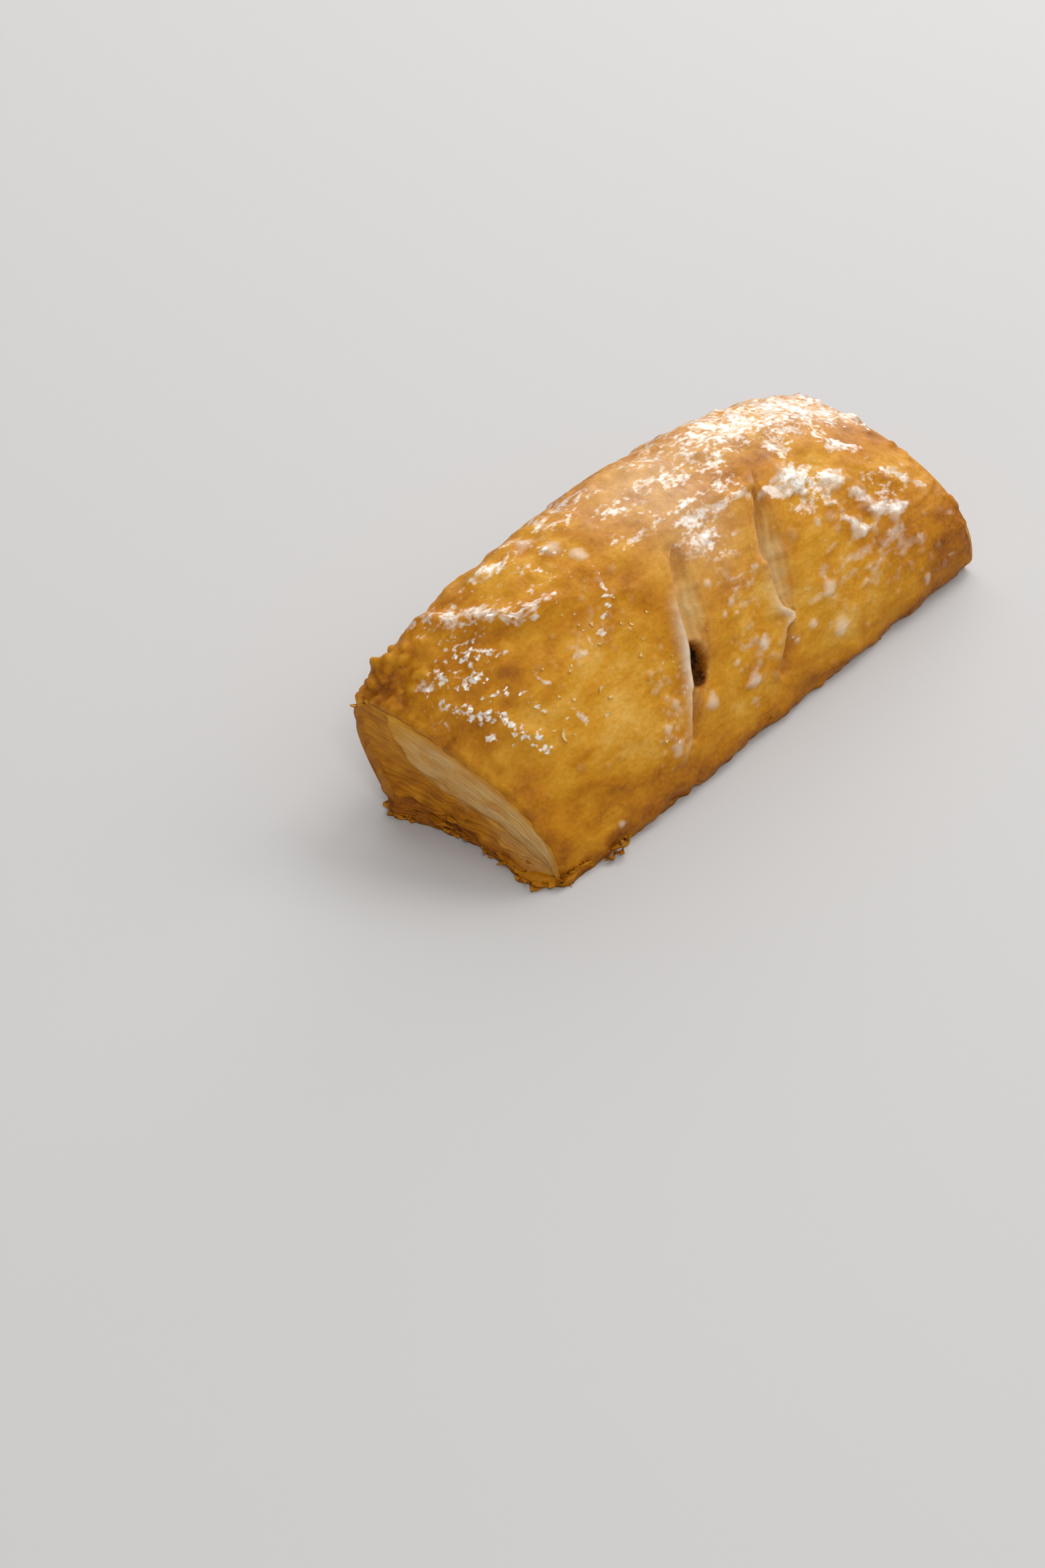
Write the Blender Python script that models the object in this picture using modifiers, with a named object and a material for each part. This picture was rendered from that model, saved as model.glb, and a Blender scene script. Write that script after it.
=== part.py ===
"""Guava pastry: one baked bar of puff pastry with two slanted vent slits and an open, layered near end.

Lengths are in metres. +X runs along the bar from the open near end to the far end, the slits are on the
-Y slope, and the base rests on z = 0.

Two coordinates place every point of the crust. `along` runs from -1 at the near end to 1 at the far end.
`ring` runs round a cross-section, from 0 at the right foot (-Y) over the ridge to 1 at the left foot (+Y).
"""

import math
from typing import NamedTuple

import bmesh
import bpy
import numpy as np
from mathutils import Vector
from numpy.polynomial import Polynomial


class Section(NamedTuple):
    """One cross-section of the bar: where its ridge, shoulders and feet lie, and how round it is."""

    height: float
    ridge_y: float
    right_y: float
    right_foot_y: float
    left_y: float
    left_z: float
    left_foot_y: float
    slope_power: float
    drop_power: float


# Driving dimensions: the bar's length and its sections at the near end, the middle and the far end.
LENGTH = 0.125
NEAR_END = Section(0.0239, 0.0208, -0.0200, -0.0210, 0.0220, 0.0170, 0.0136, 1.22, 2.35)
MIDDLE = Section(0.0398, 0.0128, -0.0235, -0.0220, 0.0251, 0.0205, 0.0170, 2.03, 1.33)
FAR_END = Section(0.0230, 0.0140, -0.0241, -0.0220, 0.0246, 0.0150, 0.0160, 2.08, 2.56)
NEAR_FULLNESS = 4.0  # how soon the near half swells to the full section
FAR_FULLNESS = 2.1
NEAR_SKEW = 0.14  # the near end is cut this much out of square, its left side further out
SHOULDER_POWER = 2.2
TUCK_POWER = 1.35
FOOT_ROLL = 0.003  # height over which the right wall rolls in to the foot
CENTRE_X = 0.0015  # brings the middle of the finished outline over the origin
CENTRE_Y = -0.0006

# Where the four edges of the cage run round the section.
RIGHT_EDGE = 0.12
LEFT_EDGE = 0.80

# Cage: number of faces each way, and the heights of its rows, closer where the layers of the ends step.
CAGE_ALONG = 23
CAGE_ACROSS = 11
ROW_HEIGHTS = (0.0, 0.12, 0.28, 0.44, 0.56, 0.80, 0.92, 1.0)
RIM_CREASE = 0.55
FOOT_CREASE = 0.85

# Steps of the near end, one for each row: how far it is set back behind the rim of the crust.
NEAR_SETBACK = (0.0002, 0.0013, 0.0012, 0.0016, 0.0004, 0.0004, 0.0013, 0.0)
FAR_SETBACK = (0.0016, 0.0010, 0.0006, 0.0010, 0.0004, 0.0006, 0.0008, 0.0)
FOOT_RAGGEDNESS = 0.0009

# Relief of the crust.
SWELL_HEIGHT = 0.0005
LIP_SWELL = 0.0011
LIP_REACH = 0.055  # in `along`, how far from a slit its near lip swells

# Vent slits, from the top end down: ring position, near lip and far lip.
SLIT_NEAR = (
    (0.400, -0.098, -0.090),
    (0.365, -0.180, -0.100),
    (0.310, -0.243, -0.136),
    (0.250, -0.280, -0.186),
    (0.200, -0.306, -0.246),
    (0.160, -0.345, -0.302),
    (0.110, -0.393, -0.358),
    (0.070, -0.458, -0.450),
)
SLIT_FAR = (
    (0.430, 0.322, 0.328),
    (0.375, 0.238, 0.288),
    (0.310, 0.165, 0.272),
    (0.260, 0.138, 0.245),
    (0.210, 0.130, 0.208),
    (0.160, 0.120, 0.162),
    (0.120, 0.084, 0.118),
    (0.082, 0.036, 0.044),
)
LIP_CURVE_DEGREE = 4
LEAST_GAP = 0.005  # in `along`, how far apart the lips are where a slit closes
SLIT_DEPTH = 0.0034
SLIT_STEPS = 20
SLIT_CLEARANCE = 0.004  # how far a cutter stands out of the crust
SLIT_LEAST_DEPTH = 0.0003
ROOT_WIDTH = 0.0002
ROOT_LEAN = 0.22  # the root of a slit lies this share of its width behind the near lip

# Steam hole in the near slit: its ring position, its share of the slit's width, and its half sizes.
STEAM_HOLE_RING = 0.212
STEAM_HOLE_SHARE = 0.30
STEAM_HOLE_SIZE = (0.0017, 0.0042, 0.0045)

CRUST_COLOUR = (0.45, 0.17, 0.02, 1.0)
CRUST_ROUGHNESS = 0.35


# Shape of the crust


def clear_scene():
    for obj in list(bpy.data.objects):
        bpy.data.objects.remove(obj, do_unlink=True)


def section_at(along):
    """The section at a station, swelling from either end's section to the middle one."""
    if along < 0:
        end, power = NEAR_END, NEAR_FULLNESS
    else:
        end, power = FAR_END, FAR_FULLNESS
    full = 1 - min(abs(along), 1.0) ** power
    return Section(*(e + (m - e) * full for e, m in zip(end, MIDDLE)))


def outline_of(section):
    """The section's outline as two arrays, y and z, from the right foot over the ridge to the left foot."""
    turn = np.linspace(math.pi / 2, 0, 60)
    right_y = section.ridge_y - (section.ridge_y - section.right_y) * np.sin(turn) ** (2 / section.slope_power)
    right_z = section.height * np.cos(turn) ** (2 / section.drop_power)
    roll = np.clip(1 - right_z / FOOT_ROLL, 0, 1) ** 2
    right_y = right_y + (section.right_foot_y - section.right_y) * roll

    turn = np.linspace(0, math.pi / 2, 40)[1:]
    top_y = section.ridge_y + (section.left_y - section.ridge_y) * np.sin(turn) ** (2 / SHOULDER_POWER)
    top_z = section.left_z + (section.height - section.left_z) * np.cos(turn) ** (2 / SHOULDER_POWER)

    drop = np.linspace(0, 1, 20)[1:]
    left_y = section.left_y - (section.left_y - section.left_foot_y) * drop**TUCK_POWER
    left_z = section.left_z * (1 - drop)
    return np.concatenate([right_y, top_y, left_y]), np.concatenate([right_z, top_z, left_z])


class Ring:
    """A section's outline that can be read at any share of its length."""

    def __init__(self, along):
        self.along = along
        self.y, self.z = outline_of(section_at(along))
        steps = np.hypot(np.diff(self.y), np.diff(self.z))
        self.share = np.concatenate([[0.0], np.cumsum(steps)]) / steps.sum()

    def point(self, ring):
        y = float(np.interp(ring, self.share, self.y))
        z = float(np.interp(ring, self.share, self.z))
        x = self.along * LENGTH / 2
        if self.along < 0:
            x += NEAR_SKEW * y * self.along
        return Vector((x + CENTRE_X, y + CENTRE_Y, z))


def crust_point(along, ring):
    return Ring(along).point(ring)


def crust_normal(along, ring):
    """Outward direction of the smooth crust, from two short steps across it."""
    step = 0.01
    run = crust_point(min(along + step, 1), ring) - crust_point(max(along - step, -1), ring)
    rise = crust_point(along, min(ring + step, 1)) - crust_point(along, max(ring - step, 0))
    return run.cross(rise).normalized()


# Vent slits


def slit_lips(slit, ring):
    """Near lip and far lip, as `along` values on smooth curves, where the slit crosses this ring position."""
    rings, near_points, far_points = np.array(slit).T
    near = float(Polynomial.fit(rings, near_points, LIP_CURVE_DEGREE)(ring))
    far = float(Polynomial.fit(rings, far_points, LIP_CURVE_DEGREE)(ring))
    return near, max(far, near + LEAST_GAP)


def lip_swell(along, ring):
    """How far the crust puffs up on the near side of each slit."""
    swell = 0.0
    for slit in (SLIT_NEAR, SLIT_FAR):
        top, bottom = slit[0][0], slit[-1][0]
        if bottom < ring < top:
            near, _far = slit_lips(slit, ring)
            reach = (near - along) / LIP_REACH
            middle = math.sin(math.pi * (ring - bottom) / (top - bottom))
            swell += math.exp(-(reach**2)) * middle
    return LIP_SWELL * swell


def crust_relief(along, ring):
    """Broad swellings of the baked crust, fading out at the ends and the feet."""
    fade = (1 - along**6) * math.sin(math.pi * ring)
    waves = (
        math.sin(7.1 * along + 5.3 * ring + 0.6)
        + 0.8 * math.sin(11.3 * along - 8.7 * ring + 2.1)
        + 0.6 * math.sin(4.7 * along + 17.9 * ring)
    )
    return SWELL_HEIGHT * fade * waves + lip_swell(along, ring)


# Cage


def raggedness(place):
    """A wavy number between about -1 and 1 for the foot of the pastry, where its layers end unevenly."""
    return 0.6 * math.sin(410 * place + 0.9) + 0.4 * math.sin(930 * place + 2.2)


def ring_on_crust(across, height):
    """Ring position of a point on the top or on a side wall, or None for a point inside an end face."""
    if height >= 1:
        return RIGHT_EDGE + (LEFT_EDGE - RIGHT_EDGE) * (across + 1) / 2
    if across <= -1:
        return RIGHT_EDGE * height
    if across >= 1:
        return 1 - (1 - LEFT_EDGE) * height
    return None


def patch_point(ring, across, height):
    """A point inside the section, blended from its base, top and two side walls."""
    left = (across + 1) / 2
    right = 1 - left
    right_foot, left_foot = ring.point(0), ring.point(1)
    right_top, left_top = ring.point(RIGHT_EDGE), ring.point(LEFT_EDGE)
    base = right_foot.lerp(left_foot, left)
    top = ring.point(RIGHT_EDGE + (LEFT_EDGE - RIGHT_EDGE) * left)
    walls = ring.point(RIGHT_EDGE * height) * right + ring.point(1 - (1 - LEFT_EDGE) * height) * left
    low_corners = right_foot * right + left_foot * left
    high_corners = right_top * right + left_top * left
    return base * (1 - height) + top * height + walls - low_corners * (1 - height) - high_corners * height


def setback(along, row):
    """Step of an end face at a row of the cage, positive inwards along +X."""
    if along <= -1:
        return NEAR_SETBACK[row]
    if along >= 1:
        return -FAR_SETBACK[row]
    return 0.0


def place_on_pastry(corner):
    """Moves a corner of the unit cage to its place on the pastry."""
    along = corner.x
    across = corner.y
    row = round(corner.z * (len(ROW_HEIGHTS) - 1))
    height = ROW_HEIGHTS[row]
    point = patch_point(Ring(along), across, height)
    ring = ring_on_crust(across, height)
    if ring is not None and height > 0:
        point += crust_normal(along, ring) * crust_relief(along, ring)
    point.x += setback(along, row)
    if row == 0:
        if abs(along) >= 1:
            point.x += FOOT_RAGGEDNESS * 1.5 * raggedness(point.y)
        if abs(across) >= 1:
            point.y += FOOT_RAGGEDNESS * raggedness(point.x)
    return point


def split_edges(mesh, axis, faces):
    """Cuts every edge that runs along one axis into equal lengths, ring by ring."""
    along_axis = []
    for edge in mesh.edges:
        run = edge.verts[1].co - edge.verts[0].co
        if abs(run[axis]) > run.length * 0.99:
            along_axis.append(edge)
    bmesh.ops.subdivide_edges(mesh, edges=along_axis, cuts=faces - 1, use_grid_fill=True)


def mark_creases(mesh):
    """Keeps the rims of both ends and the foot crisper than the rest."""
    crease = mesh.edges.layers.float.new("crease_edge")
    for edge in mesh.edges:
        first, second = (corner.co for corner in edge.verts)
        at_end = abs(first.x) >= 1 and abs(second.x) >= 1
        on_side = abs(first.y) >= 1 and abs(second.y) >= 1
        on_top = first.z >= 1 and second.z >= 1
        if first.z <= 0 and second.z <= 0 and (at_end or on_side):
            edge[crease] = FOOT_CREASE
        elif at_end and (on_top or on_side):
            edge[crease] = RIM_CREASE


def make_pastry(collection, material):
    """The pastry: a cube cut into a cage, moved to the form, then smoothed."""
    mesh = bmesh.new()
    bmesh.ops.create_cube(mesh, size=2)
    for corner in mesh.verts:
        corner.co.z = (corner.co.z + 1) / 2
    split_edges(mesh, 0, CAGE_ALONG)
    split_edges(mesh, 1, CAGE_ACROSS)
    split_edges(mesh, 2, len(ROW_HEIGHTS) - 1)
    for corner in mesh.verts:
        corner.co = [round(value, 6) for value in corner.co]
    mark_creases(mesh)
    for corner in mesh.verts:
        corner.co = place_on_pastry(corner.co)
    pastry = finish_object("pastry", mesh, collection)
    pastry.data.materials.append(material)
    smooth = pastry.modifiers.new("Smooth form", "SUBSURF")
    smooth.levels = 1
    smooth.render_levels = 1
    return pastry


# Cutters


def slit_point(slit, down, side, depth):
    """A corner of a slit's cutter. `down` runs from 0 to 1, `side` is -1 near and 1 far, depth 1, 0 or -1."""
    ring = slit[0][0] + (slit[-1][0] - slit[0][0]) * down
    near, far = slit_lips(slit, ring)
    outward = crust_normal((near + far) / 2, ring)
    near_lip = crust_point(near, ring) + outward * crust_relief(near, ring)
    far_lip = crust_point(far, ring) + outward * crust_relief(far, ring)
    lip = near_lip if side < 0 else far_lip
    if depth > 0:
        return lip + outward * SLIT_CLEARANCE
    if depth == 0:
        return lip
    deep = SLIT_LEAST_DEPTH + SLIT_DEPTH * math.sin(math.pi * down) ** 0.7
    root = near_lip.lerp(far_lip, ROOT_LEAN) - outward * deep
    return root + (far_lip - near_lip).normalized() * ROOT_WIDTH * side


def make_slit_cutter(name, slit, collection):
    mesh = bmesh.new()
    bmesh.ops.create_cube(mesh, size=2)
    split_edges(mesh, 0, SLIT_STEPS)
    split_edges(mesh, 2, 2)
    for corner in mesh.verts:
        down = (corner.co.x + 1) / 2
        corner.co = slit_point(slit, down, round(corner.co.y), round(corner.co.z))
    return finish_cutter(name, mesh, collection)


def make_steam_hole_cutter(collection):
    """A small deep pocket at the near lip of the near slit, where steam burst through."""
    near, far = slit_lips(SLIT_NEAR, STEAM_HOLE_RING)
    along = near + (far - near) * STEAM_HOLE_SHARE
    centre = crust_point(along, STEAM_HOLE_RING)
    outward = crust_normal(along, STEAM_HOLE_RING)
    near_below, _far = slit_lips(SLIT_NEAR, STEAM_HOLE_RING - 0.02)
    down_slit = (crust_point(near_below, STEAM_HOLE_RING - 0.02) - crust_point(near, STEAM_HOLE_RING)).normalized()
    sideways = down_slit.cross(outward).normalized()
    half_width, half_length, half_depth = STEAM_HOLE_SIZE
    mesh = bmesh.new()
    bmesh.ops.create_uvsphere(mesh, u_segments=12, v_segments=8, radius=1)
    for corner in mesh.verts:
        ball = corner.co.copy()
        corner.co = (
            centre
            - outward * half_depth
            + sideways * ball.x * half_width
            + down_slit * ball.y * half_length
            + outward * ball.z * half_depth
        )
    return finish_cutter("steam_hole_cutter", mesh, collection)


def cut(pastry, cutter):
    hollow = pastry.modifiers.new(cutter.name, "BOOLEAN")
    hollow.operation = "DIFFERENCE"
    hollow.solver = "EXACT"
    hollow.object = cutter


# Objects, material and collections


def finish_object(name, mesh, collection):
    mesh.normal_update()
    bmesh.ops.recalc_face_normals(mesh, faces=mesh.faces)
    data = bpy.data.meshes.new(name)
    mesh.to_mesh(data)
    mesh.free()
    obj = bpy.data.objects.new(name, data)
    collection.objects.link(obj)
    return obj


def finish_cutter(name, mesh, collection):
    cutter = finish_object(name, mesh, collection)
    cutter.hide_render = True
    cutter.display_type = "WIRE"
    return cutter


def crust_material():
    material = bpy.data.materials.new("baked_crust")
    material.use_nodes = True
    shader = material.node_tree.nodes["Principled BSDF"]
    shader.inputs["Base Color"].default_value = CRUST_COLOUR
    shader.inputs["Roughness"].default_value = CRUST_ROUGHNESS
    shader.inputs["Metallic"].default_value = 0.0
    return material


def new_collection(name):
    collection = bpy.data.collections.new(name)
    bpy.context.scene.collection.children.link(collection)
    return collection


def main():
    clear_scene()
    parts = new_collection("guava_pastry")
    cutters = new_collection("cutters")
    pastry = make_pastry(parts, crust_material())
    cut(pastry, make_slit_cutter("near_slit_cutter", SLIT_NEAR, cutters))
    cut(pastry, make_slit_cutter("far_slit_cutter", SLIT_FAR, cutters))
    cut(pastry, make_steam_hole_cutter(cutters))


main()
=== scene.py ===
# %% [markdown]
# # A glazed guava pastry
#
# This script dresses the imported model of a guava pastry: one bar of puff pastry, domed and glazed on top,
# slashed twice so that steam could leave, and cut open at one end, where its layers show.
# The frame says how large the bar is and where it stands. Every length below follows from that box.

# %% Load the frame
import math
import random
from typing import NamedTuple

import bmesh
import bpy
import numpy as np
from mathutils import Matrix, Vector, noise
from numpy.polynomial import Polynomial


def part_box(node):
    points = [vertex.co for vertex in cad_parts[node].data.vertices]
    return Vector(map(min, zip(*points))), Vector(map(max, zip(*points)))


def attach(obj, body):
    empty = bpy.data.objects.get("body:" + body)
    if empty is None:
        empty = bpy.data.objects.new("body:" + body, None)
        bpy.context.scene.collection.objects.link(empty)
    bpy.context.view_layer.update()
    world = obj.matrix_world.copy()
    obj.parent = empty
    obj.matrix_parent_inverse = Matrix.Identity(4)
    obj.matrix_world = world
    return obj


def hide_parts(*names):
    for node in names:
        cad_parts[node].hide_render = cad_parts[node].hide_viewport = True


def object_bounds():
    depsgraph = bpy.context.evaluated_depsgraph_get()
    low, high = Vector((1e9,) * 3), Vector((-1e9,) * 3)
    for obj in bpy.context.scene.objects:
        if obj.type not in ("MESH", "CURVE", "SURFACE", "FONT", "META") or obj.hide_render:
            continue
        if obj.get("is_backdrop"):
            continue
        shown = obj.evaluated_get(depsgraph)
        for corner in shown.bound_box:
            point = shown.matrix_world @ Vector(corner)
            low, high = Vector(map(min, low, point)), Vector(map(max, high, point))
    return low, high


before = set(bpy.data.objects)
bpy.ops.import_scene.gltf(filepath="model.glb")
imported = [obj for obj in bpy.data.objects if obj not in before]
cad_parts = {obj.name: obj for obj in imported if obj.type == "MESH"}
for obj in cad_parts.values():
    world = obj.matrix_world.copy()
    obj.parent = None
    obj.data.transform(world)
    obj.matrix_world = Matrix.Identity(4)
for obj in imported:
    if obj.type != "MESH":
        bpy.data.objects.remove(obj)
cad_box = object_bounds()
low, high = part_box("pastry")
LONG, WIDE, TALL = high - low
MM = LONG / 127.8  # one millimetre of the real bar
MIDDLE = (low + high) / 2
print(f"the bar is {LONG * 1000:.1f} x {WIDE * 1000:.1f} x {TALL * 1000:.1f} mm")

# %% [markdown]
# ## The form of the bar
#
# A cross-section of the bar is steep on the left, where the dough was folded over, and slopes gently to the
# right. Each side is a superellipse, a circle whose power can be changed to make it squarer or flatter, so
# seven sizes and two powers describe a section. The bar swells from the section of either end to that of
# the middle. Two coordinates then name each spot on the crust: `along`, from -1 at the near end to 1 at the
# far end, and `ring`, from 0 at the right foot, over the ridge, to 1 at the left foot.

# %% Cross-sections, as shares of the bar's width and height
class Section(NamedTuple):
    height: float
    ridge_y: float
    right_y: float
    right_foot_y: float
    left_y: float
    left_z: float
    left_foot_y: float
    slope_power: float
    drop_power: float


NEAR_SECTION = Section(0.594, 0.413, -0.421, -0.442, 0.438, 0.423, 0.266, 1.22, 2.35)
MIDDLE_SECTION = Section(0.990, 0.250, -0.493, -0.462, 0.501, 0.510, 0.335, 2.03, 1.33)
FAR_SECTION = Section(0.572, 0.274, -0.505, -0.462, 0.491, 0.373, 0.315, 2.08, 2.56)
NEAR_FULLNESS = 4.0
FAR_FULLNESS = 2.1
NEAR_SKEW = 0.14
SHOULDER_POWER = 2.2
TUCK_POWER = 1.35
FOOT_ROLL = 3.0 * MM
SPINE = LONG * 0.978
SPINE_X = MIDDLE.x + LONG * 0.0117
SLOPE_POINTS, WALL_POINTS = 90, 30
CLEARANCE = 0.02 * MM  # between the sides of the bar and the floor, so that they never share a plane


def section_at(along):
    end, power = (NEAR_SECTION, NEAR_FULLNESS) if along < 0 else (FAR_SECTION, FAR_FULLNESS)
    full = 1 - abs(along) ** power
    return Section(*(e + (m - e) * full for e, m in zip(end, MIDDLE_SECTION)))


def outline_of(section):
    """y and z of the section, from the right foot over the ridge to the left foot."""
    ridge_y, right_y, left_y = (value * WIDE for value in (section.ridge_y, section.right_y, section.left_y))
    right_foot, left_foot = section.right_foot_y * WIDE, section.left_foot_y * WIDE
    height, left_z = section.height * TALL, section.left_z * TALL
    turn = np.linspace(math.pi / 2, 0, SLOPE_POINTS)
    slope_y = ridge_y - (ridge_y - right_y) * np.sin(turn) ** (2 / section.slope_power)
    slope_z = height * np.cos(turn) ** (2 / section.drop_power)
    slope_y += (right_foot - right_y) * np.clip(1 - slope_z / FOOT_ROLL, 0, 1) ** 2
    turn = turn[::-1][1:]
    shoulder_y = ridge_y + (left_y - ridge_y) * np.sin(turn) ** (2 / SHOULDER_POWER)
    shoulder_z = left_z + (height - left_z) * np.cos(turn) ** (2 / SHOULDER_POWER)
    drop = np.linspace(0, 1, WALL_POINTS)[1:]
    wall_y = left_y - (left_y - left_foot) * drop**TUCK_POWER
    wall_z = left_z * (1 - drop)
    return np.concatenate([slope_y, shoulder_y, wall_y]), np.concatenate([slope_z, shoulder_z, wall_z])


STATIONS, SAMPLES = 401, 801


def form_table():
    """The smooth crust as points at even steps of `along` and `ring`."""
    table = np.empty((STATIONS, SAMPLES, 3))
    for index, along in enumerate(np.linspace(-1, 1, STATIONS)):
        y, z = outline_of(section_at(along))
        travelled = np.concatenate([[0], np.cumsum(np.hypot(np.diff(y), np.diff(z)))])
        even = np.linspace(0, travelled[-1], SAMPLES)
        y = np.interp(even, travelled, y)
        skew = NEAR_SKEW * y * along if along < 0 else 0.0
        table[index, :, 0] = SPINE_X + along * SPINE / 2 + skew
        table[index, :, 1] = MIDDLE.y + y
        table[index, :, 2] = low.z + np.interp(even, travelled, z)
    return table


FORM = form_table()
for word, corner in (("from", FORM.min((0, 1))), ("to", FORM.max((0, 1)))):
    print(f"the form reaches {word}", np.round(corner * 1000, 1), "mm")


# %% Read the form anywhere
ALONG_STEP, RING_STEP = 0.012, 0.008


def crust_at(along, ring):
    """Points of the smooth crust, blended between the four nearest of the table."""
    a = (np.clip(along, -1, 1) + 1) / 2 * (STATIONS - 1)
    r = np.clip(ring, 0, 1) * (SAMPLES - 1)
    i = np.minimum(a.astype(int), STATIONS - 2)
    j = np.minimum(r.astype(int), SAMPLES - 2)
    fa, fr = (a - i)[..., None], (r - j)[..., None]
    near = FORM[i, j] * (1 - fr) + FORM[i, j + 1] * fr
    far = FORM[i + 1, j] * (1 - fr) + FORM[i + 1, j + 1] * fr
    return near * (1 - fa) + far * fa


def crust_normal(along, ring):
    """Outward directions, from short steps either way."""
    run = crust_at(along + ALONG_STEP, ring) - crust_at(along - ALONG_STEP, ring)
    rise = crust_at(along, ring + RING_STEP) - crust_at(along, ring - RING_STEP)
    across = np.cross(run, rise)
    return across / np.linalg.norm(across, axis=-1, keepdims=True)


def smooth_step(value, start, end):
    """0 before the start, 1 after the end and a soft rise between them."""
    share = np.clip((value - start) / (end - start), 0, 1)
    return share * share * (3 - 2 * share)


def bell(value, middle, width):
    """1 in the middle, fading evenly to either side."""
    return np.exp(-(((value - middle) / width) ** 2))


def kept_above(points, gap):
    """The points, with those under the floor or too near it lifted to this gap above it."""
    points[..., 2] = np.maximum(points[..., 2], low.z + gap)
    return points


# %% [markdown]
# ## The two vent slits
#
# Each slit was cut on the slant through the top sheet of dough. In the oven its near lip puffed up and
# curled, and its far side stayed low, so that bare layers show between the two. A table of a few spots down
# each slit gives its near and far lip, and a smooth curve runs through them. A flap of crust hangs over the
# far slit.

# %% Slit lips
SLITS = {
    "near": (
        (0.400, -0.098, -0.090),
        (0.365, -0.180, -0.100),
        (0.310, -0.243, -0.130),
        (0.250, -0.280, -0.158),
        (0.200, -0.306, -0.205),
        (0.160, -0.345, -0.285),
        (0.110, -0.393, -0.358),
        (0.070, -0.458, -0.450),
    ),
    "far": (
        (0.430, 0.322, 0.328),
        (0.375, 0.238, 0.288),
        (0.310, 0.165, 0.272),
        (0.260, 0.138, 0.245),
        (0.210, 0.130, 0.208),
        (0.160, 0.120, 0.162),
        (0.120, 0.084, 0.118),
        (0.082, 0.036, 0.044),
    ),
}
LEAST_GAP = 0.024
LIP_BENDS = 4  # power of the curve through the spots of a lip
BLUNTNESS = 0.6  # of the ends of a slit; 1 tapers most
FLAP_RING, FLAP_LENGTH, FLAP_REACH = 0.174, 0.017, 0.042


def slit_lips(name, ring):
    """The near and the far lip, and how far the slit is open, from 0 to 1, at these ring positions."""
    rings, near_spots, far_spots = np.array(SLITS[name]).T
    inside = np.clip(ring, rings.min(), rings.max())
    near = Polynomial.fit(rings, near_spots, LIP_BENDS)(inside)
    far = Polynomial.fit(rings, far_spots, LIP_BENDS)(inside)
    down = (inside - rings.min()) / (rings.max() - rings.min())
    openness = np.sin(math.pi * down) ** BLUNTNESS
    if name == "far":
        near = near + FLAP_REACH * bell(ring, FLAP_RING, FLAP_LENGTH)
    return np.stack([near, np.maximum(far, near + LEAST_GAP)]), openness


# %% [markdown]
# ## The net of the crust
#
# The crust is one sheet. A plain grid would cut the slits into stair steps, so the columns of this one run
# down the lips: five fans of columns fill the stretches between the ends and the four lips. The first and
# last columns stop short of the ends by the radius of the rim, which is rolled on afterwards.

# %% Columns and rows
NEAR_COLUMNS, SLIT_COLUMNS, STRIP_COLUMNS, FAR_COLUMNS = 128, 20, 74, 120
FINE_RING = 0.62  # rows lie closer on the slope and over the ridge than down the hidden wall
FINE_ROWS, COARSE_ROWS = 176, 50
RIM_RADIUS = 1.4 * MM
HALF = SPINE / 2

fine_rows = np.linspace(0, FINE_RING, FINE_ROWS, endpoint=False)
rows = np.concatenate([fine_rows, np.linspace(FINE_RING, 1, COARSE_ROWS)])
near_lips, near_open = slit_lips("near", rows)
far_lips, far_open = slit_lips("far", rows)


def fan(start, end, count):
    """`count` columns from one line to the next, without the last."""
    share = np.linspace(0, 1, count, endpoint=False)[:, None]
    return start * (1 - share) + end * share


end_line = (1 - RIM_RADIUS / HALF) * np.ones_like(rows)
along_net = np.concatenate(
    [
        fan(-end_line, near_lips[0], NEAR_COLUMNS),
        fan(near_lips[0], near_lips[1], SLIT_COLUMNS),
        fan(near_lips[1], far_lips[0], STRIP_COLUMNS),
        fan(far_lips[0], far_lips[1], SLIT_COLUMNS),
        fan(far_lips[1], end_line, FAR_COLUMNS),
        end_line[None],
    ]
)
FAR_START = NEAR_COLUMNS + SLIT_COLUMNS + STRIP_COLUMNS
ring_net = np.broadcast_to(rows, along_net.shape)
smooth_net = crust_at(along_net, ring_net)
out_net = crust_normal(along_net, ring_net)
print("net of the crust:", along_net.shape, "points")

# %% [markdown]
# ## Lumps, folds and blisters
#
# Steam lifts the top sheet unevenly, and the egg wash dries into fine wrinkles that run along the bar. Broad
# lumps and wrinkles are smooth noise, stretched along X. The few folds and swellings that give this bar its
# own face are listed as short lines with a width and a height, and the blisters are small domes strewn
# round other lines. All of it is real relief, moved along the outward direction, so that it holds its shape
# in any light and from any side.


# %% Helpers for relief
def lumps(points, size, seed):
    """Smooth noise, about -1 to 1, whose lumps have this size along X, Y and Z in mm."""
    places = (points / (np.array(size) * MM)).reshape(-1, 3) + seed
    values = [noise.noise(place) for place in places.tolist()]
    return np.array(values).reshape(points.shape[:-1])


def spots_on_crust(spots):
    """Places on the smooth crust of a list of (along, ring)."""
    along, ring = np.array(spots, dtype=float).T
    return crust_at(along, ring)


def distance_to_spot(along, ring):
    """Distance of each point of the net to one spot of the smooth crust."""
    return np.linalg.norm(smooth_net - crust_at(np.array(along), np.array(ring)), axis=-1)


def distance_to_line(points, line):
    """Distance of each point to a line of straight runs."""
    nearest = np.full(points.shape[:-1], np.inf)
    for start, end in zip(line, line[1:]):
        run = end - start
        share = np.clip((points - start) @ run / (run @ run), 0, 1)
        nearest = np.minimum(nearest, np.linalg.norm(points - start - share[..., None] * run, axis=-1))
    return nearest


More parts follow.
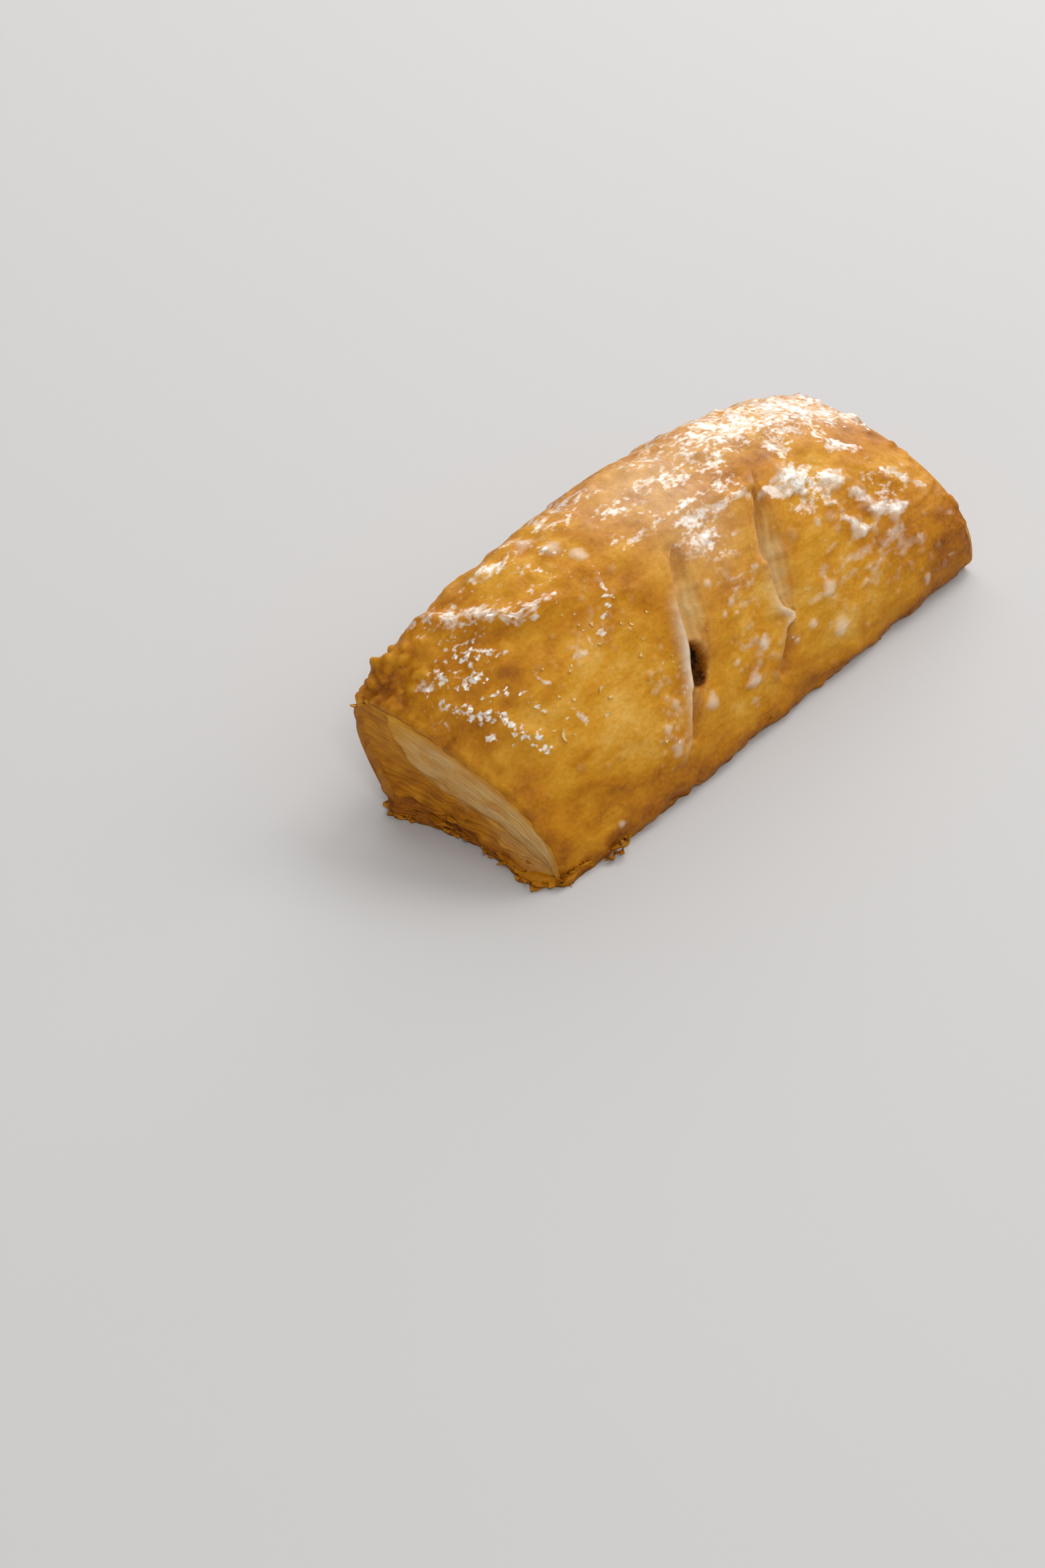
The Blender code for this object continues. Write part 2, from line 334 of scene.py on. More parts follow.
# %% Broad lumps and wrinkles
topside = smooth_step(ring_net + 0.10 * lumps(smooth_net, (22, 22, 22), 5.2), 0.34, 0.46)
calm = bell(along_net, -0.66, 0.17) * bell(ring_net, 0.28, 0.12)
corner = bell(along_net, -0.95, 0.11) * bell(ring_net, 0.62, 0.075)
relief = 0.75 * lumps(smooth_net, (19, 15, 13), 3.1)
relief += 0.62 * lumps(smooth_net, (9.5, 5.5, 5.5), 8.4) * (0.35 + 0.65 * topside)
relief += 0.42 * (0.15 + 0.85 * topside) * lumps(smooth_net, (4.6, 2.9, 2.9), 7.7)
soft_bubbles = np.clip(lumps(smooth_net, (3.0, 2.2, 2.2), 1.3) + 0.05, 0, 1)
relief += 0.40 * (0.6 + 0.4 * topside) * (1 - 0.75 * calm) * soft_bubbles
rough_ends = np.maximum(corner, 0.7 * bell(along_net, 1.0, 0.10))
relief += 1.10 * rough_ends * lumps(smooth_net, (3.2, 2.6, 2.6), 6.9)
knobs = 2.8 * np.abs(lumps(smooth_net, (2.2, 1.8, 1.8), 37.1)) - 0.35
relief += corner * (0.4 + 0.85 * knobs)
relief += 0.35 * rough_ends * lumps(smooth_net, (1.3, 1.1, 1.1), 16.9)
relief += 0.07 * lumps(smooth_net, (1.2, 0.9, 0.9), 2.9)
near_shoulder = bell(ring_net, 0.63, 0.08) * smooth_step(-along_net, -0.2, 0.5)
relief += 0.80 * near_shoulder * lumps(smooth_net, (5.5, 4, 4), 51.7)
relief += 0.75 * bell(ring_net, 0, 0.05) * lumps(smooth_net, (5.5, 4, 4), 4.4)
relief += 0.45 * bell(ring_net, 0, 0.035) * lumps(smooth_net, (2.3, 1.8, 1.8), 24.4)
print(f"wrinkles lift the crust by {relief.min():.2f} to {relief.max():.2f} mm")

# %% Folds and swellings: height and width in mm, then the line
FOLDS = (
    (1.3, 1.9, ((-0.79, 0.6), (-0.73, 0.535), (-0.69, 0.503), (-0.66, 0.472), (-0.6, 0.455), (-0.54, 0.443))),
    (-0.50, 2.4, ((-0.80, 0.53), (-0.73, 0.47), (-0.66, 0.425))),
    (0.50, 1.6, ((-0.80, 0.475), (-0.74, 0.455))),
    (0.55, 1.3, ((-0.93, 0.47), (-0.90, 0.42), (-0.87, 0.37))),
    (0.40, 1.2, ((-0.88, 0.34), (-0.84, 0.29))),
    (-0.45, 2.2, ((-0.86, 0.36), (-0.81, 0.32))),
    (0.45, 2.0, ((-0.45, 0.47), (-0.36, 0.46), (-0.28, 0.44))),
    (0.40, 1.8, ((-0.42, 0.41), (-0.32, 0.37))),
    (0.55, 3.4, ((0.38, 0.40), (0.45, 0.375))),
    (0.40, 1.8, ((0.54, 0.36), (0.60, 0.33))),
    (0.40, 1.6, ((0.50, 0.27), (0.56, 0.235))),
    (0.45, 1.8, ((0.70, 0.36), (0.80, 0.30))),
    (0.50, 2.4, ((0.20, 0.52), (0.34, 0.52), (0.50, 0.50))),
    (0.45, 2.2, ((0.62, 0.52), (0.78, 0.47))),
    (0.70, 2.6, ((-0.94, 0.67), (-0.89, 0.62), (-0.84, 0.60))),
    (0.35, 3.0, ((-0.30, 0.14), (-0.20, 0.13))),
    (0.35, 3.2, ((0.30, 0.17), (0.42, 0.10))),
)
for height, width, line in FOLDS:
    relief += height * bell(distance_to_line(smooth_net, spots_on_crust(line)), 0, width * MM)
print(len(FOLDS), "folds laid")

# %% Where egg wash pooled and dried shiny: how shiny, how wide in mm, then the line
POOLS = (
    (1.30, 1.6, ((-0.764, 0.577), (-0.728, 0.533), (-0.692, 0.503), (-0.664, 0.470), (-0.620, 0.457))),
    (0.90, 1.8, ((-0.620, 0.470), (-0.540, 0.450))),
    (1.30, 1.5, ((-0.92, 0.533), (-0.876, 0.503))),
    (1.20, 0.9, ((-0.893, 0.535), (-0.880, 0.530))),
    (1.30, 1.3, ((-0.868, 0.470), (-0.836, 0.447))),
    (1.30, 1.3, ((-0.796, 0.493), (-0.752, 0.445))),
    (1.30, 1.4, ((-0.928, 0.470), (-0.900, 0.407), (-0.872, 0.370), (-0.872, 0.317))),
    (1.30, 1.2, ((-0.870, 0.350), (-0.852, 0.287), (-0.840, 0.260))),
    (1.20, 1.0, ((-0.868, 0.417), (-0.820, 0.400))),
    (1.20, 1.0, ((-0.924, 0.360), (-0.920, 0.355))),
    (1.10, 1.0, ((-0.800, 0.365), (-0.790, 0.320))),
    (1.10, 0.9, ((-0.740, 0.375), (-0.730, 0.355))),
    (0.90, 1.6, ((-0.724, 0.293), (-0.708, 0.263))),
    (0.80, 1.2, ((-0.60, 0.36), (-0.584, 0.345))),
    (0.95, 1.2, ((-0.50, 0.355), (-0.43, 0.385), (-0.40, 0.42))),
    (1.00, 1.8, ((-0.828, 0.617), (-0.780, 0.590))),
    (1.00, 1.6, ((-0.720, 0.615), (-0.640, 0.610))),
    (1.05, 1.8, ((-0.676, 0.593), (-0.540, 0.563))),
    (1.00, 1.6, ((-0.448, 0.593), (-0.432, 0.513))),
    (0.95, 2.0, ((-0.380, 0.573), (-0.260, 0.587), (-0.140, 0.587))),
    (0.85, 2.0, ((-0.376, 0.563), (-0.136, 0.493))),
    (0.90, 2.2, ((-0.224, 0.580), (0.072, 0.497))),
    (0.85, 1.8, ((-0.300, 0.480), (-0.232, 0.443), (-0.084, 0.443))),
    (1.00, 1.5, ((-0.052, 0.417), (0.108, 0.407), (0.248, 0.400))),
    (0.90, 1.6, ((0.012, 0.440), (0.296, 0.433))),
    (0.90, 2.0, ((0.032, 0.487), (0.256, 0.473))),
    (0.95, 4.0, ((0.30, 0.57), (0.55, 0.53), (0.812, 0.53))),
    (1.40, 2.6, ((0.345, 0.383), (0.480, 0.377))),
    (1.30, 2.0, ((0.504, 0.353), (0.604, 0.350))),
    (1.30, 1.6, ((0.505, 0.340), (0.496, 0.315))),
    (1.30, 1.7, ((0.624, 0.313), (0.676, 0.257), (0.764, 0.243))),
    (1.20, 1.4, ((0.524, 0.270), (0.560, 0.227))),
    (1.20, 2.2, ((0.62, 0.43), (0.80, 0.40))),
    (1.10, 1.8, ((0.80, 0.33), (0.90, 0.27))),
    (1.20, 2.0, ((0.86, 0.47), (0.90, 0.46))),
    (0.60, 4.0, ((-0.05, 0.36), (0.03, 0.25), (-0.05, 0.12))),
    (0.60, 3.0, ((-0.40, 0.24), (-0.43, 0.17), (-0.46, 0.11))),
    (0.60, 6.0, ((0.35, 0.20), (0.90, 0.16))),
)
POOL_RISE = 0.14  # mm
LEAST_BROKEN = 0.55
pooled = np.zeros_like(relief)
broken = np.maximum(1 + 1.2 * lumps(smooth_net, (2.8, 1.6, 1.6), 41.3), LEAST_BROKEN)
for amount, width, line in POOLS:
    pool = bell(distance_to_line(smooth_net, spots_on_crust(line)) * broken, 0, width * MM)
    pooled = np.maximum(pooled, amount * pool)
    relief += POOL_RISE * pool
foamy = np.clip(bell(along_net, -0.84, 0.16) + bell(along_net, -0.42, 0.12), 0, 1)
foam = foamy * smooth_step(ring_net, 0.60, 0.50)
print(len(POOLS), "pools of glaze")

# %% Blisters: how many, how far they stray, least and most radius in mm, how much painted glint, then the line
BLISTERS = (
    (190, 1.7, 0.35, 0.85, 0.0, ((-0.93, 0.49), (-0.90, 0.40), (-0.87, 0.34), (-0.84, 0.26))),
    (40, 2.4, 0.50, 1.10, 0.0, ((-0.92, 0.55), (-0.80, 0.50))),
    (40, 2.2, 0.40, 0.90, 0.0, ((-0.86, 0.46), (-0.76, 0.42))),
    (26, 1.6, 0.40, 0.80, 0.0, ((-0.80, 0.325), (-0.735, 0.367))),
    (60, 2.2, 0.40, 0.85, 0.5, ((-0.60, 0.355), (-0.49, 0.355), (-0.41, 0.41))),
    (70, 2.4, 0.40, 0.90, 0.7, ((-0.40, 0.24), (-0.43, 0.17), (-0.46, 0.11))),
    (70, 3.6, 0.40, 1.00, 0.5, ((0.0, 0.42), (0.05, 0.26), (0.0, 0.12))),
    (34, 5.0, 0.80, 1.90, 0.5, ((0.40, 0.34), (0.60, 0.30), (0.86, 0.30))),
    (34, 5.5, 0.50, 1.20, 0.5, ((0.36, 0.16), (0.90, 0.16))),
    (50, 7.5, 0.80, 2.20, 0.2, ((-0.60, 0.56), (0.0, 0.52), (0.80, 0.50))),
    (80, 9.0, 0.60, 1.40, 0.0, ((-0.80, 0.74), (0.80, 0.72))),
    (90, 12.0, 0.40, 0.85, 0.2, ((-0.80, 0.30), (0.90, 0.22))),
)
BLISTER_RISE = 0.22  # height in mm of a blister of 1 mm radius; wider ones are flatter for their size
MIDDLE_LINE = crust_at(np.zeros(SAMPLES), np.linspace(0, 1, SAMPLES))
GIRTH = np.linalg.norm(np.diff(MIDDLE_LINE, axis=0), axis=1).sum()


def strew(count, stray, line, chance):
    """Random (along, ring) spots near a line of such spots."""
    corners = np.array(line)
    reach = np.linspace(0, 1, len(corners))
    for _ in range(count):
        share = chance.random()
        along, ring = (np.interp(share, reach, corners[:, side]) for side in (0, 1))
        yield along + chance.gauss(0, stray) * MM / HALF, ring + chance.gauss(0, stray) * MM / GIRTH


chance = random.Random(11)
blister = np.zeros_like(relief)
uneven = 1 + 0.7 * lumps(smooth_net, (2.6, 1.3, 1.3), 22.8)
# painted glint: some blisters get a whitish highlight painted on
blister_glint = np.zeros_like(relief)
for count, stray, least, most, glint_strength, line in BLISTERS:
    for along, ring in strew(count, stray, line, chance):
        radius = chance.uniform(least, most) * MM
        share = distance_to_spot(along, ring) / radius * uneven
        dome = np.clip(1 - share**2, 0, 1) ** 1.5
        blister = np.maximum(blister, dome * BLISTER_RISE * math.sqrt(radius / MM))
        blister_glint = np.maximum(blister_glint, dome * glint_strength * chance.uniform(0.2, 1))
relief += blister
print(sum(zone[0] for zone in BLISTERS), f"blisters, girth {GIRTH * 1000:.0f} mm")

# %% Wide dry blisters: along, ring and radius in mm
DRY_BLISTERS = (
    (-0.040, 0.370, 1.2),
    (-0.088, 0.310, 1.0),
    (-0.036, 0.260, 0.9),
    (-0.084, 0.247, 0.9),
    (0.016, 0.160, 1.3),
    (-0.112, 0.163, 0.8),
    (0.236, 0.135, 1.1),
    (-0.068, 0.117, 1.9),
    (-0.268, 0.133, 1.8),
    (-0.404, 0.173, 1.3),
    (-0.472, 0.147, 1.2),
    (-0.464, 0.107, 1.3),
    (0.336, 0.175, 2.2),
    (0.332, 0.097, 2.4),
    (0.408, 0.287, 1.0),
    (0.752, 0.080, 1.1),
    (0.400, 0.385, 3.4),
    (0.430, 0.370, 2.4),
    (0.552, 0.343, 2.6),
    (0.660, 0.260, 2.4),
    (0.720, 0.237, 2.0),
    (0.545, 0.255, 1.5),
    (0.570, 0.235, 1.5),
    (-0.440, 0.567, 2.0),
    (-0.416, 0.520, 2.0),
    (-0.380, 0.480, 1.8),
    (-0.750, 0.050, 1.0),
    (0.158, 0.172, 1.5),
    (0.140, 0.184, 1.2),
    (0.134, 0.162, 1.2),
)
DRY_RISE = 0.20  # height of a dry blister for each mm of its radius
# the domes below also mark the whitish highlight painted on each dry blister
dry = np.zeros_like(relief)
for along, ring, radius in DRY_BLISTERS:
    share = distance_to_spot(along, ring) / (radius * MM) * uneven
    dome = np.clip(1 - share**2, 0, 1)
    relief += DRY_RISE * radius * dome
    dry = np.maximum(dry, dome)
print(len(DRY_BLISTERS), "dry blisters")

# %% [markdown]
# ## Opened slits
#
# The near lip of a slit swells and overhangs a little, with a thin bead at its very edge and a whitish glint
# painted along it. Behind it the gash drops, then climbs back as a slope of bare layers to meet the far side
# without an edge, and the hollow under the lip is browned with painted shade. Two short tables say how far
# across the gap and how deep each step of that slope lies. Halfway down the near slit the steam broke
# through, so the gash has a deep hole there, painted nearly black inside as its shade.

# %% The slits in figures
GASH_SHARE = (0.0, 0.08, 0.18, 0.28, 0.50, 0.75, 1.0)
GASH_ACROSS = (0.0, 0.02, -0.02, 0.06, 0.36, 0.70, 1.0)
GASH_DROP = (0.0, 0.40, 0.90, 1.0, 0.66, 0.34, 0.0)
GASH_DEPTH, MOST_OF_GAP = 2.9, 0.9  # mm, and deepest as a share of the gap
LIP_HEIGHT, LIP_REACH = 1.15, 3.0  # mm
BEAD_HEIGHT, BEAD_REACH = 0.26, 1.50  # mm
LAYER_LINES, WANDERING = 5, 2.5
# holes and hollows: depth and width in mm, how dark a hole is painted as its shade, then the line
PITS = (
    (5.5, 2.6, 1.0, ((-0.246, 0.226), (-0.252, 0.208), (-0.270, 0.188))),
    (1.1, 2.6, 0.0, ((-0.130, 0.385), (-0.158, 0.352))),
    (1.2, 3.0, 0.0, ((0.250, 0.385), (0.195, 0.335), (0.165, 0.300))),
    (1.3, 1.9, 0.0, ((0.135, 0.150), (0.100, 0.122), (0.060, 0.092))),
    (1.2, 1.8, 0.0, ((-0.318, 0.165), (-0.380, 0.108))),
)
HOLE_RING, HOLE_LENGTH, HOLE_LOWERS = 0.208, 0.040, 0.55
# how sharp and pale the edge of the near lip is, at places down each slit
LIP_EDGES = {
    "near": ((0.08, 0.3), (0.13, 0.7), (0.18, 1.0), (0.27, 1.0), (0.31, 0.5), (0.35, 0.1)),
    "far": ((0.10, 0.1), (0.15, 0.7), (0.18, 1.0), (0.21, 0.6), (0.24, 0.2), (0.38, 0.1)),
}
# how bare the layers are at places down each slit; the low values at the upper ends are partly painted shade
BARENESS = {
    "near": ((0.07, 0.30), (0.16, 0.50), (0.22, 0.75), (0.30, 0.95), (0.335, 0.70), (0.37, 0.20)),
    "far": ((0.08, 0.25), (0.16, 0.40), (0.20, 0.75), (0.28, 1.00), (0.33, 0.80), (0.38, 0.20)),
}

# %% Lips and gashes
pale, painted_hole_shade, shift, hollow_bake, lip_film = (np.zeros_like(relief) for _ in range(5))


def raise_to(values, columns, least):
    """Raises the values of some columns of the net to at least this much."""
    values[columns] = np.maximum(values[columns], least)


# the last number of each is how strong the glint painted along its near lip is
openings = (("near", near_lips, near_open, NEAR_COLUMNS, 0.7), ("far", far_lips, far_open, FAR_START, 0.5))
for name, lips, openness, first, glint_strength in openings:
    last = first + SLIT_COLUMNS
    before_gash, gash, after_gash = slice(first), slice(first, last), slice(last, None)
    gap = (lips[1] - lips[0]) * HALF / MM
    depth = np.minimum(GASH_DEPTH, MOST_OF_GAP * gap) * openness

    # the near lip, with the bead at its edge and a whitish glint painted along it
    before = (lips[0] - along_net[before_gash]) * HALF / MM
    glint_breakup = np.clip(0.75 + 0.6 * lumps(smooth_net[before_gash], (2.2, 2.2, 2.2), 31.0), 0, 1.0)
    lowered = 1 - HOLE_LOWERS * bell(rows, HOLE_RING, HOLE_LENGTH) * (name == "near")
    lip = LIP_HEIGHT * openness * lowered * bell(before, 0, LIP_REACH)
    edge = openness * np.interp(rows, *np.array(LIP_EDGES[name]).T)
    bead = BEAD_HEIGHT * edge * bell(before, BEAD_REACH / 2, BEAD_REACH)
    relief[before_gash] += lip + bead
    raise_to(pale, before_gash, 0.5 * edge * bell(before, 0.2, BEAD_REACH))
    raise_to(lip_film, before_gash, glint_strength * edge * glint_breakup * bell(before, 0.3, BEAD_REACH))

    # the drop behind it and the climb to the far side
    share = np.linspace(0, 1, SLIT_COLUMNS, endpoint=False)[:, None]
    shift[gash] = (np.interp(share, GASH_SHARE, GASH_ACROSS) - share) * gap * openness
    drop = np.interp(share, GASH_SHARE, GASH_DROP)
    streaks = lumps(smooth_net[gash], (9, 3, 3), 2.2)
    waves = np.sin(share * math.tau * LAYER_LINES + WANDERING * streaks)
    lines = 0.10 * waves + 0.16 * lumps(smooth_net[gash], (2.0, 1.4, 1.4), 5.2)
    lip_edge = LIP_HEIGHT * openness + BEAD_HEIGHT * edge
    lip_edge = lip_edge * np.clip(1 - share / GASH_SHARE[3], 0, 1) ** 1.5
    relief[gash] += lowered * (lip_edge - drop * depth) + lines * openness * np.clip(drop * 2, 0, 1)

    # the bare layers on the climb
    bareness = np.interp(rows, *np.array(BARENESS[name]).T)
    ragged = lumps(smooth_net[gash], (2.6, 2.6, 2.6), 8.2)
    across = smooth_step(share + 0.12 * ragged, 0.16, 0.46)
    across = across * np.clip(3.2 * (1 - share) + 0.5 * ragged, 0, 1)
    strands = 0.80 + 0.35 * streaks + 0.20 * waves
    pale[gash] = openness * bareness * across * strands
    # painted shade: browner in the hollow just behind the near lip, which the lip shades
    hollow_bake[gash] = 0.16 * openness * bell(share, 0.20, 0.16)
    raise_to(pale, gash, 0.45 * openness * np.clip(1 - share / 0.10, 0, 1))
    after = (along_net[after_gash] - lips[1]) * HALF / MM
    raise_to(pale, after_gash, 0.12 * openness * bell(after, 0, 1.2))
    print(f"the {name} slit is up to {gap.max():.1f} mm wide and {depth.max():.1f} mm deep")

# %% The steam hole and the hollows
for pit_depth, width, dark, line in PITS:
    share = distance_to_line(smooth_net, spots_on_crust(line)) / (width * MM)
    pit = smooth_step(1 - share, 0, 0.75)
    relief -= pit_depth * pit
    # painted shade: the inside of the deep steam hole is painted nearly black
    painted_hole_shade = np.maximum(painted_hole_shade, dark * smooth_step(1 - share, 0.02, 0.26))
print(f"{(painted_hole_shade > 0.5).sum()} points lie in the dark hole")

# %% [markdown]
# ## How brown each spot is
#
# One number a vertex says how far the oven browned it, from 0 for raw dough to 1 for nearly burnt, and
# another, `pale`, marks bare layers with no glaze. Rims, corners and the foot brown first, and the calm
# slope stays golden. The browning number also carries painted shade, darker in the hollows of the slits, in
# the steam hole, on the lower band and foot of the cut ends and in the crevices of the near corner, and
# painted light, paler above a fold and on the knobs of that corner. Three more say how the crust shines:
# `glaze` how much glaze lies there, one how much whitish sheen is painted on as its highlight, and `foam` how
# far the glaze broke up into specks. The material turns all five into colour and shine.

# %% Browning, with painted shade and painted light
BROWN_SPOTS = (  # how much browner, how wide in mm, then along and ring
    (0.14, 8.0, -0.82, 0.40),
    (0.05, 7.0, -0.86, 0.56),
    (0.10, 4.5, -0.97, 0.42),
    (0.08, 5.0, -0.93, 0.34),
    (0.08, 5.0, -0.97, 0.25),
    (0.12, 4.0, -0.97, 0.12),
    (0.08, 4.5, -0.62, 0.46),
    # painted light: paler just above the fold, where the fold shades the crust
    (-0.14, 5.0, -0.64, 0.54),
    (0.12, 6.0, -0.30, 0.36),
    (0.26, 9.0, 0.90, 0.12),
    (0.05, 7.0, 0.86, 0.42),
    (0.15, 9.0, 0.72, 0.20),
    (0.12, 5.0, 0.37, 0.43),
    (-0.14, 9.0, -0.55, 0.22),
    (-0.10, 8.0, -0.60, 0.34),
    (-0.10, 6.0, -0.93, 0.20),
    (-0.10, 8.0, 0.30, 0.16),
    (-0.10, 4.0, -0.82, 0.32),
)
BROWNEST = 0.80
height_net = smooth_net[..., 2] - low.z
bake = 0.52 + 0.17 * lumps(smooth_net, (16, 11, 11), 12.6) + 0.13 * lumps(smooth_net, (5, 3.5, 3.5), 4.9)
for amount, width, along, ring in BROWN_SPOTS:
    bake += amount * bell(distance_to_spot(along, ring), 0, width * MM)
bake += 0.05 * topside
# painted shade and light: darker in the crevices between the knobs of the near corner and lighter on their
# tops
bake += corner * (0.13 - 0.30 * knobs)
bake += 0.22 * bell((along_net + 1) * HALF, 0, 3.0 * MM) * smooth_step(ring_net, 0.68, 0.74)
bake += 0.26 * (1 - smooth_step(height_net, 0.5 * MM, 6.0 * MM))
bake += 0.10 * (1 - smooth_step(height_net, 2 * MM, 15 * MM))
bake += 0.06 * bell((along_net + 1) * HALF, 0, 3.5 * MM) + 0.08 * bell((1 - along_net) * HALF, 0, 3.0 * MM)
bake = np.where(pale > 0.3, bake * (1 - 0.25 * np.clip(pale, 0, 1)), bake)
# painted shade of the hollows joins the browning here, and that of the steam hole just below
bake = np.minimum(bake + hollow_bake, BROWNEST)
bake += (1 - bake) * painted_hole_shade
pale *= 1 - np.clip(2 * painted_hole_shade, 0, 1)
# painted sheen: whitish highlights painted on the dry blisters, the small blisters, the lip beads and two
# bands of the ridge
film = np.maximum(0.42 * dry, 0.30 * blister_glint)
film += 0.16 * bell(along_net, 0.0, 0.16) * bell(ring_net, 0.42, 0.10)
film += 0.14 * bell(ring_net, 0.53, 0.07) * smooth_step(along_net, -0.40, -0.05)
film = np.maximum(film, lip_film) * (1 - painted_hole_shade)
print(f"browning from {bake.min():.2f} to {bake.max():.2f}")

# %% How far each spot is glazed
DULL_SPOTS = (  # along, ring and width in mm of spots where the glaze soaked in
    (-0.70, 0.62, 3.0),
    (-0.60, 0.63, 3.5),
    (-0.31, 0.49, 4.0),
    (-0.06, 0.555, 3.0),
    (0.372, 0.435, 3.5),
    (0.30, 0.43, 2.5),
    (0.856, 0.425, 5.0),
    (0.60, 0.42, 3.0),
    (0.88, 0.17, 6.0),
    (-0.72, 0.47, 2.0),
    (0.344, 0.427, 2.0),
    (-0.09, 0.62, 4.0),
    (-0.19, 0.41, 2.0),
)
SPRINKLED = (  # how much glaze dried in fine specks, how wide in mm, then along and ring
    (0.92, 9.0, 0.00, 0.38),
    (0.78, 6.0, -0.30, 0.20),
    (0.85, 7.0, -0.82, 0.50),
    (0.85, 10.0, 0.45, 0.36),
    (0.72, 8.0, 0.75, 0.30),
)
LEAST_GLAZE, TOP_GLAZE = 0.10, 0.60
upper_part = smooth_step(ring_net + 0.06 * lumps(smooth_net, (9, 6, 6), 7.1), 0.40, 0.50)
glaze = LEAST_GLAZE + (TOP_GLAZE - LEAST_GLAZE) * upper_part
glaze += 0.32 * topside * smooth_step(along_net, -0.1, 0.5)
glaze -= 0.42 * smooth_step(ring_net + 0.05 * lumps(smooth_net, (9, 6, 6), 17.1), 0.62, 0.72)
glaze = np.maximum(glaze, np.maximum(pooled, 1.2 * blister_glint))
for along, ring, width in DULL_SPOTS:
    glaze *= 1 - 0.85 * bell(distance_to_spot(along, ring), 0, width * MM)
glaze = np.minimum(glaze, 1) * (1 - np.clip(1.2 * pale, 0, 1))
glaze = glaze * (1 - np.clip(painted_hole_shade, 0, 1)) * (1 - 0.8 * corner)
glaze *= smooth_step(height_net, 1.5 * MM, 7.0 * MM)
foam = np.maximum(foam, 0.5 * smooth_step(ring_net, 0.34, 0.42) * (1 - smooth_step(ring_net, 0.60, 0.70)))
for amount, width, along, ring in SPRINKLED:
    nearby = bell(distance_to_spot(along, ring), 0, width * MM)
    glaze = np.maximum(glaze, amount * nearby * (pale < 0.2) * (1 - painted_hole_shade))
    foam = np.maximum(foam, 0.6 * nearby)
print(f"glaze covers {(glaze > 0.5).mean():.0%} of the crust")

# %% [markdown]
# ## The crust as a closed piece
#
# The grid becomes a tube: past the left foot a few more rows run back under the bar to the right foot, just
# above the base, where nobody sees them. At either end the sheet rolls over its rim, runs down the face a
# little way and turns in, and a fan of triangles closes it behind the layers of the end. A closed piece keeps
# its colour and shade right from every side.

# %% Rims and the hidden return
ROLL_STEPS = 5
RIM_DOWN, RIM_IN = 0.5 * MM, 4.5 * MM
RETURN_ROWS, RETURN_HEIGHT, RETURN_IN = 8, 1.0 * MM, 3.0 * MM
RIM_WAVE, RIM_LUMPS = 0.35, 0.55 * MM

crust_points = smooth_net + out_net * (relief * MM)[..., None]
crust_points[..., 0] += shift * MM
crust_points = kept_above(crust_points, CLEARANCE)


def rolled_rim(edge, outward, away):
    """Columns that follow the edge of the sheet over its rim, down the face and in, a little lumpy."""
    outward = outward - (outward @ away)[:, None] * away
    outward /= np.linalg.norm(outward, axis=1, keepdims=True)
    columns = []
    for angle in np.linspace(0, math.pi / 2, ROLL_STEPS + 1)[1:]:
        columns.append(edge + RIM_RADIUS * (away * math.sin(angle) - outward * (1 - math.cos(angle))))
    columns.append(columns[-1] - outward * RIM_DOWN)
    columns.append(columns[-1] - away * RIM_IN - outward * RIM_DOWN)
    columns = np.array(columns)
    fade = np.linspace(0, 1, len(columns) + 1)[1:, None, None]
    bumps = lumps(columns, (3.0, 2.6, 2.6), 8.8) + 0.5 * lumps(columns, (1.3, 1.1, 1.1), 3.8)
    return columns + RIM_LUMPS * fade * bumps[..., None] * (away + outward)


NEAR_AWAY = np.array([-1.0, NEAR_SKEW, 0.0]) / math.hypot(1, NEAR_SKEW)
FAR_AWAY = np.array([1.0, 0.0, 0.0])
wave = [RIM_WAVE * MM * lumps(edge, (5, 4, 4), 6.3)[:, None] for edge in (crust_points[0], crust_points[-1])]
near_rim = rolled_rim(crust_points[0] + NEAR_AWAY * wave[0], out_net[0], NEAR_AWAY)
far_rim = rolled_rim(crust_points[-1] + FAR_AWAY * wave[1], out_net[-1], FAR_AWAY)
skin = kept_above(np.concatenate([near_rim[::-1], crust_points, far_rim]), CLEARANCE)
share = np.linspace(0, 1, RETURN_ROWS + 2)[1:-1]
left_foot, right_foot = skin[:, -1], skin[:, 0]
hidden = left_foot[:, None] * (1 - share[:, None]) + right_foot[:, None] * share[:, None]
hidden[..., 2] = low.z + RETURN_HEIGHT
for away, end in ((NEAR_AWAY, crust_points[0]), (FAR_AWAY, crust_points[-1])):
    too_far = hidden @ away - ((end @ away).mean() - RETURN_IN)
    hidden = hidden - np.maximum(too_far, 0)[..., None] * away
skin = np.concatenate([skin, hidden, skin[:, :1]], axis=1)


def padded_like_skin(values, rim_values):
    """The values of the net, carried on over both rims and along the hidden rows."""
    near = np.broadcast_to(values[:1], (len(near_rim), len(rows))) + np.array(rim_values)[::-1, None]
    far = np.broadcast_to(values[-1:], (len(far_rim), len(rows))) + np.array(rim_values)[:, None]
    values = np.concatenate([near, values, far])
    return np.pad(values, ((0, 0), (0, RETURN_ROWS + 1)), mode="edge")


RIM_PALER = (0.0, 0.0, 0.0, 0.04, 0.08, 0.10, 0.10)
RIM_DULLER = (-0.05, -0.10, -0.2, -0.4, -0.6, -1.0, -1.0)
bake_skin = padded_like_skin(bake, [-0.2 * value for value in RIM_PALER])
pale_skin = padded_like_skin(pale, RIM_PALER)
glaze_skin = np.clip(padded_like_skin(glaze, RIM_DULLER), 0, 1)
film_skin = np.clip(padded_like_skin(film, RIM_DULLER), 0, 1)
foam_skin = padded_like_skin(foam, [0.0] * len(RIM_PALER))


